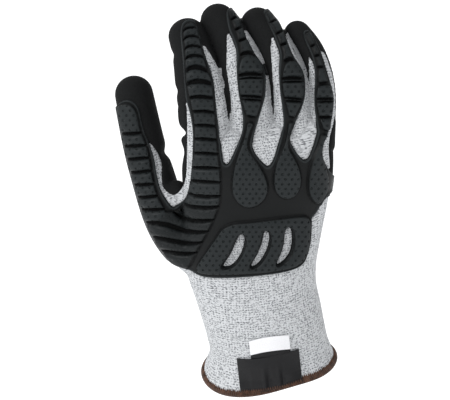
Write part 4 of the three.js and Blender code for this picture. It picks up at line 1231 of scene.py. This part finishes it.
def make_hem(height=4.2, thick=1.1, stitches=168, per_stitch=6):
    angles, lengths = cuff_arc()
    count = stitches * per_stitch
    arc = np.linspace(0, lengths[-1], count, endpoint=False)
    angle = np.interp(arc, lengths, angles)
    phase = arc / lengths[-1] * stitches * 2 * math.pi
    uneven = 0.35 * np.sin(phase * 0.37) + 0.25 * np.sin(phase * 0.113 + 1)
    points, weave = [], []
    for turn in np.linspace(0, 2 * math.pi, 18, endpoint=False):
        out, up = math.cos(turn), math.sin(turn)
        rise = 0.5 + 0.5 * up
        ridge = RIDGE * np.abs(np.sin((phase + rise * LEAN) / 2)) * (out > -0.3)
        tooth = (TOOTH * (0.5 + 0.5 * np.sin(phase)) ** 1.5 + uneven) * max(up, 0) ** 3
        level = -0.2 + height * rise + tooth - mouth_dip(angle)
        depth = (thick + 0.55) * out + ridge - 0.35 - 0.25 * max(up, 0)
        points.append(np.array([cuff_point(a, z, d)[0] for a, z, d in zip(angle[:, None], level, depth)]))
        weave.append(np.stack([arc, level + 3 * (out < 0), np.zeros(count)], axis=1))
    rows = len(points)
    points, weave = np.concatenate(points), np.concatenate(weave)
    quads = []
    for row in range(rows):
        for k in range(count):
            after, above = (k + 1) % count, (row + 1) % rows
            quads.append((row * count + k, row * count + after, above * count + after, above * count + k))
    made = quad_object("overlocked_edge", points, np.array(quads), weave=weave)
    made.data.materials.append(hem_material("hem"))
    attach(made, "root")
    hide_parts("cuff_hem")


def hem_material(name):
    """Brown thread laid side by side, with painted shade between the threads."""
    nodes = Nodes(name)
    u, v, _, weave = nodes.detail("weave")
    slant = nodes.plus(u, nodes.times(v, 0.35))
    thread = nodes.math("ABSOLUTE", nodes.math("SINE", nodes.times(slant, math.pi / 0.8)))
    fuzz = nodes.noise(weave, 1.3, 3.0, 0.7)
    tone = nodes.noise(weave, 0.22, 2.0)
    share = nodes.plus(nodes.times(thread, 0.55), nodes.times(fuzz, 0.5))
    patch = nodes.times(share, nodes.span(tone, 0.3, 0.7, 0.55, 1.1))
    # Darkest between the threads, as painted shade, and varied by a random tone
    colour = nodes.mix(nodes.span(patch, 0.15, 1.0), *HEM_SHADES)
    return nodes.finish(Base_Color=colour, Roughness=0.85, Specular_IOR_Level=0.25,
                        Normal=nodes.bump(thread, 0.6, 0.0003), Sheen_Weight=0.1)


def cuff_front(x, z, out):
    """The cuff's half width at each height, out from its surface, and the place of its back there."""
    row = hermite(sections(), z.ravel()).reshape(*z.shape, -1)
    wide = np.where(x < 0, row[..., 1], row[..., 2]) + out
    return wide, -(row[..., 3] + out) * np.sqrt(np.clip(1 - (x / wide) ** 2, 0, 1))


def lying_sheet(name, middle, low, width, height, surface, thickness=0.35, across=90, up=40):
    """A small woven piece that lies on the cuff, as a thin closed skin; surface gives how far
    out and how much higher each spot lies."""
    xs = np.linspace(-0.5, 0.5, across)
    ups = np.linspace(0, 1, up)
    u, v = np.meshgrid(xs, ups)
    out, lift = surface(u, v)
    z = low + v * height + lift
    x = middle + u * width
    front = []
    for layer in (out + thickness, out):
        y = cuff_front(x, z, layer)[1]
        front.append(np.stack([x, y, z], axis=-1).reshape(-1, 3))
    total = across * up
    quads = []
    for row in range(up - 1):
        for column in range(across - 1):
            a, b = row * across + column, row * across + column + 1
            quads.append((a, b, b + across, a + across))
            quads.append((a + total, a + across + total, b + across + total, b + total))
    lowest, highest = range(across), range(total - 2, total - across - 1, -1)
    right, left = range(2 * across - 1, total, across), range(total - 2 * across, 0, -across)
    rim = [*lowest, *right, *highest, *left]
    for a, b in zip(rim, rim[1:] + rim[:1]):
        quads.append((b, a, a + total, b + total))
    weave = np.stack([u.ravel() * width, v.ravel() * height, np.zeros(total)], axis=1)
    made = quad_object(name, np.concatenate(front), np.array(quads), weave=np.concatenate([weave, weave]))
    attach(made, "root")
    return made


LABEL_DROP = {"top_left": 2.4, "low_left": 3.8, "low_right": 1.0}
# The label's wrinkles: rise, place across it and width, as shares of its width
WRINKLES = [(0.8, -0.1, 0.035), (-0.55, -0.02, 0.03), (0.65, 0.14, 0.03), (-0.4, 0.2, 0.025),
            (0.45, -0.3, 0.04)]
WRINKLE_RISE = 2.2


def label_surface(u, v):
    """Soft wrinkles that run up from the stitched lower edge, which lies over the hem; the
    label hangs lower on the left."""
    folds = 0
    for rise, at, wide in WRINKLES:
        folds = folds + rise * np.exp(-((u - at) / wide) ** 2)
    folds = folds + 0.15 * np.sin(u * 22)
    fade = np.clip(1 - v * 1.3, 0, 1) * smooth(0.0, 0.2, v)
    over_hem = 1.25 * (1 - smooth(0.12, 0.32, v))
    out = 0.55 + over_hem + WRINKLE_RISE * folds * fade + 0.25 * v ** 2 + 0.12 * np.sin(u * 9 + v * 4)
    left = 0.5 - u
    low_left, top_left = LABEL_DROP["low_left"], LABEL_DROP["top_left"]
    drop = left * (low_left + (top_left - low_left) * v) + (1 - left) * LABEL_DROP["low_right"] * (1 - v)
    return out, 0.25 * np.sin(u * 7) - drop


def tab_surface(u, v):
    """Arched, with the lower edge standing a little off the cuff."""
    return 0.8 + 0.7 * (1 - v) * (1 - 4 * u * u) + 0.1 * np.sin(u * 8), 2.0 * (1 - 4 * u * u) - 0.6 + 0.8 * u


def fold_surface(u, v):
    """A folded loop under the tab's arch, which stands off most at the middle of its height."""
    out = 0.3 + 0.9 * np.sin(v * math.pi) * (1 - 2 * u * u) + 0.1 * np.sin(u * 31)
    return out, (1 - v) * 1.6 * u + v * (1.9 * (1 - 4 * u * u) - 0.5)


def zigzag(name, left, right, low, high, teeth, out, radius=0.28, sides=6, per_side=5):
    """Thread that runs up and down across the label's lower edge."""
    turns = np.linspace(0, teeth, teeth * 2 * per_side + 1)
    wave = 1 - np.abs(2 * (turns % 1) - 1)
    x = left + (right - left) * turns / teeth
    z = low(x) + high * wave
    wide, y = cuff_front(x, z, out)
    line = np.stack([x, y, z], axis=1)
    tangent = unit(np.gradient(line, axis=0))
    outwards = unit(np.stack([x / wide, y / wide, np.zeros(len(x))], axis=1))
    across = unit(np.cross(tangent, outwards))
    around = np.linspace(0, 2 * math.pi, sides, endpoint=False)
    rings = []
    for place, sideways, outward in zip(line, across, outwards):
        rings.append(place + np.outer(np.cos(around) * radius, sideways)
                     + np.outer(np.sin(around) * radius, outward))
    points, faces = loft(rings)
    made = new_object(name, points * MM, faces)
    made.data.polygons.foreach_set("use_smooth", np.ones(len(faces), bool))
    carry(made, "weave", points * (1, 0, 1))
    made.data.materials.append(hem_material("label_thread"))
    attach(made, "root")


def make_labels():
    woven = thread_material("label", LABEL_SHADES, scale=0.5, rough=0.42, strength=0.4, gloss=0.24)
    label = lying_sheet("woven_label", middle=-0.5, low=4.6, width=41.2, height=20.0,
                        surface=label_surface)
    label.data.materials.append(woven)
    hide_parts("label_patch")
    fold = lying_sheet("label_fold", middle=1.4, low=22.9, width=26.4, height=3.8,
                       surface=fold_surface, across=60, up=16)
    fold.data.materials.append(woven)
    tab = lying_sheet("woven_tab", middle=1.4, low=26.2, width=26.6, height=9.9,
                      surface=tab_surface, across=60, up=24)
    white = thread_material("tab", TAB_SHADES, scale=0.5, rough=0.75, strength=0.25)
    tab.data.materials.append(white)
    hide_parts("label_tab")
    left, slope = -20.6, 0.068
    zigzag("label_stitches", left, right=19.8, low=lambda x: (x - left) * slope, high=3.0, teeth=26,
           out=2.5)


# Stage
# The studio's brightest side, and its light there and away from it
BRIGHT_SIDE = (-0.72, 0.1, 0.68)
LEVEL_FROM, LEVEL_TO, LEVEL_LOW, LEVEL_HIGH = -0.4, 0.95, 0.42, 1.15
# The lights' names, places, sizes and powers
LIGHTS = [("key", (-1.5, -1.1, 1.6), 0.7, 21), ("fill", (1.5, -1.5, 0.8), 1.6, 8)]


def make_stage():
    size, drop = 30.0, 0.35
    corners = np.array([(-size, -size, 0), (size, -size, 0), (size, size, 0), (-size, size, 0)])
    floor = new_object("floor", corners, [(0, 1, 2, 3)])
    floor.location.z = -drop
    nodes = Nodes("floor")
    place = place_of(nodes)
    shade = nodes.mix(nodes.noise(place, 3.0), *FLOOR_SHADES)
    floor.data.materials.append(nodes.finish(Base_Color=shade, Roughness=0.9, Specular_IOR_Level=0.1,
                                             Emission_Color=(1, 1, 1, 1), Emission_Strength=0.3))
    make_world()
    for name, place, size, power in LIGHTS:
        add_light(name, place, size, power)
    bpy.context.scene.view_settings.view_transform = "Standard"


def make_world():
    """A pale studio, brightest to the upper left and dim where it faces the glove's back."""
    world = bpy.data.worlds.new("studio")
    world.use_nodes = True
    tree = world.node_tree
    background = tree.nodes["Background"]
    background.inputs[0].default_value = STUDIO_SHADE
    towards = tree.nodes.new("ShaderNodeVectorMath")
    towards.operation = "DOT_PRODUCT"
    towards.inputs[1].default_value = BRIGHT_SIDE
    tree.links.new(tree.nodes.new("ShaderNodeTexCoord").outputs["Generated"], towards.inputs[0])
    level = tree.nodes.new("ShaderNodeMapRange")
    level.interpolation_type = "SMOOTHSTEP"
    for socket, value in {1: LEVEL_FROM, 2: LEVEL_TO, 3: LEVEL_LOW, 4: LEVEL_HIGH}.items():
        level.inputs[socket].default_value = value
    tree.links.new(towards.outputs["Value"], level.inputs[0])
    tree.links.new(level.outputs[0], background.inputs[1])
    bpy.context.scene.world = world


def add_light(name, place, size, power):
    data = bpy.data.lights.new(name, "AREA")
    data.size = size
    data.energy = power
    light = bpy.data.objects.new(name, data)
    light.location = place
    target = Vector((0, 0, 0.12))
    light.rotation_euler = (Vector(place) - target).to_track_quat("Z", "Y").to_euler()
    bpy.context.scene.collection.objects.link(light)


make_layers()
make_hem()
make_labels()
make_stage()
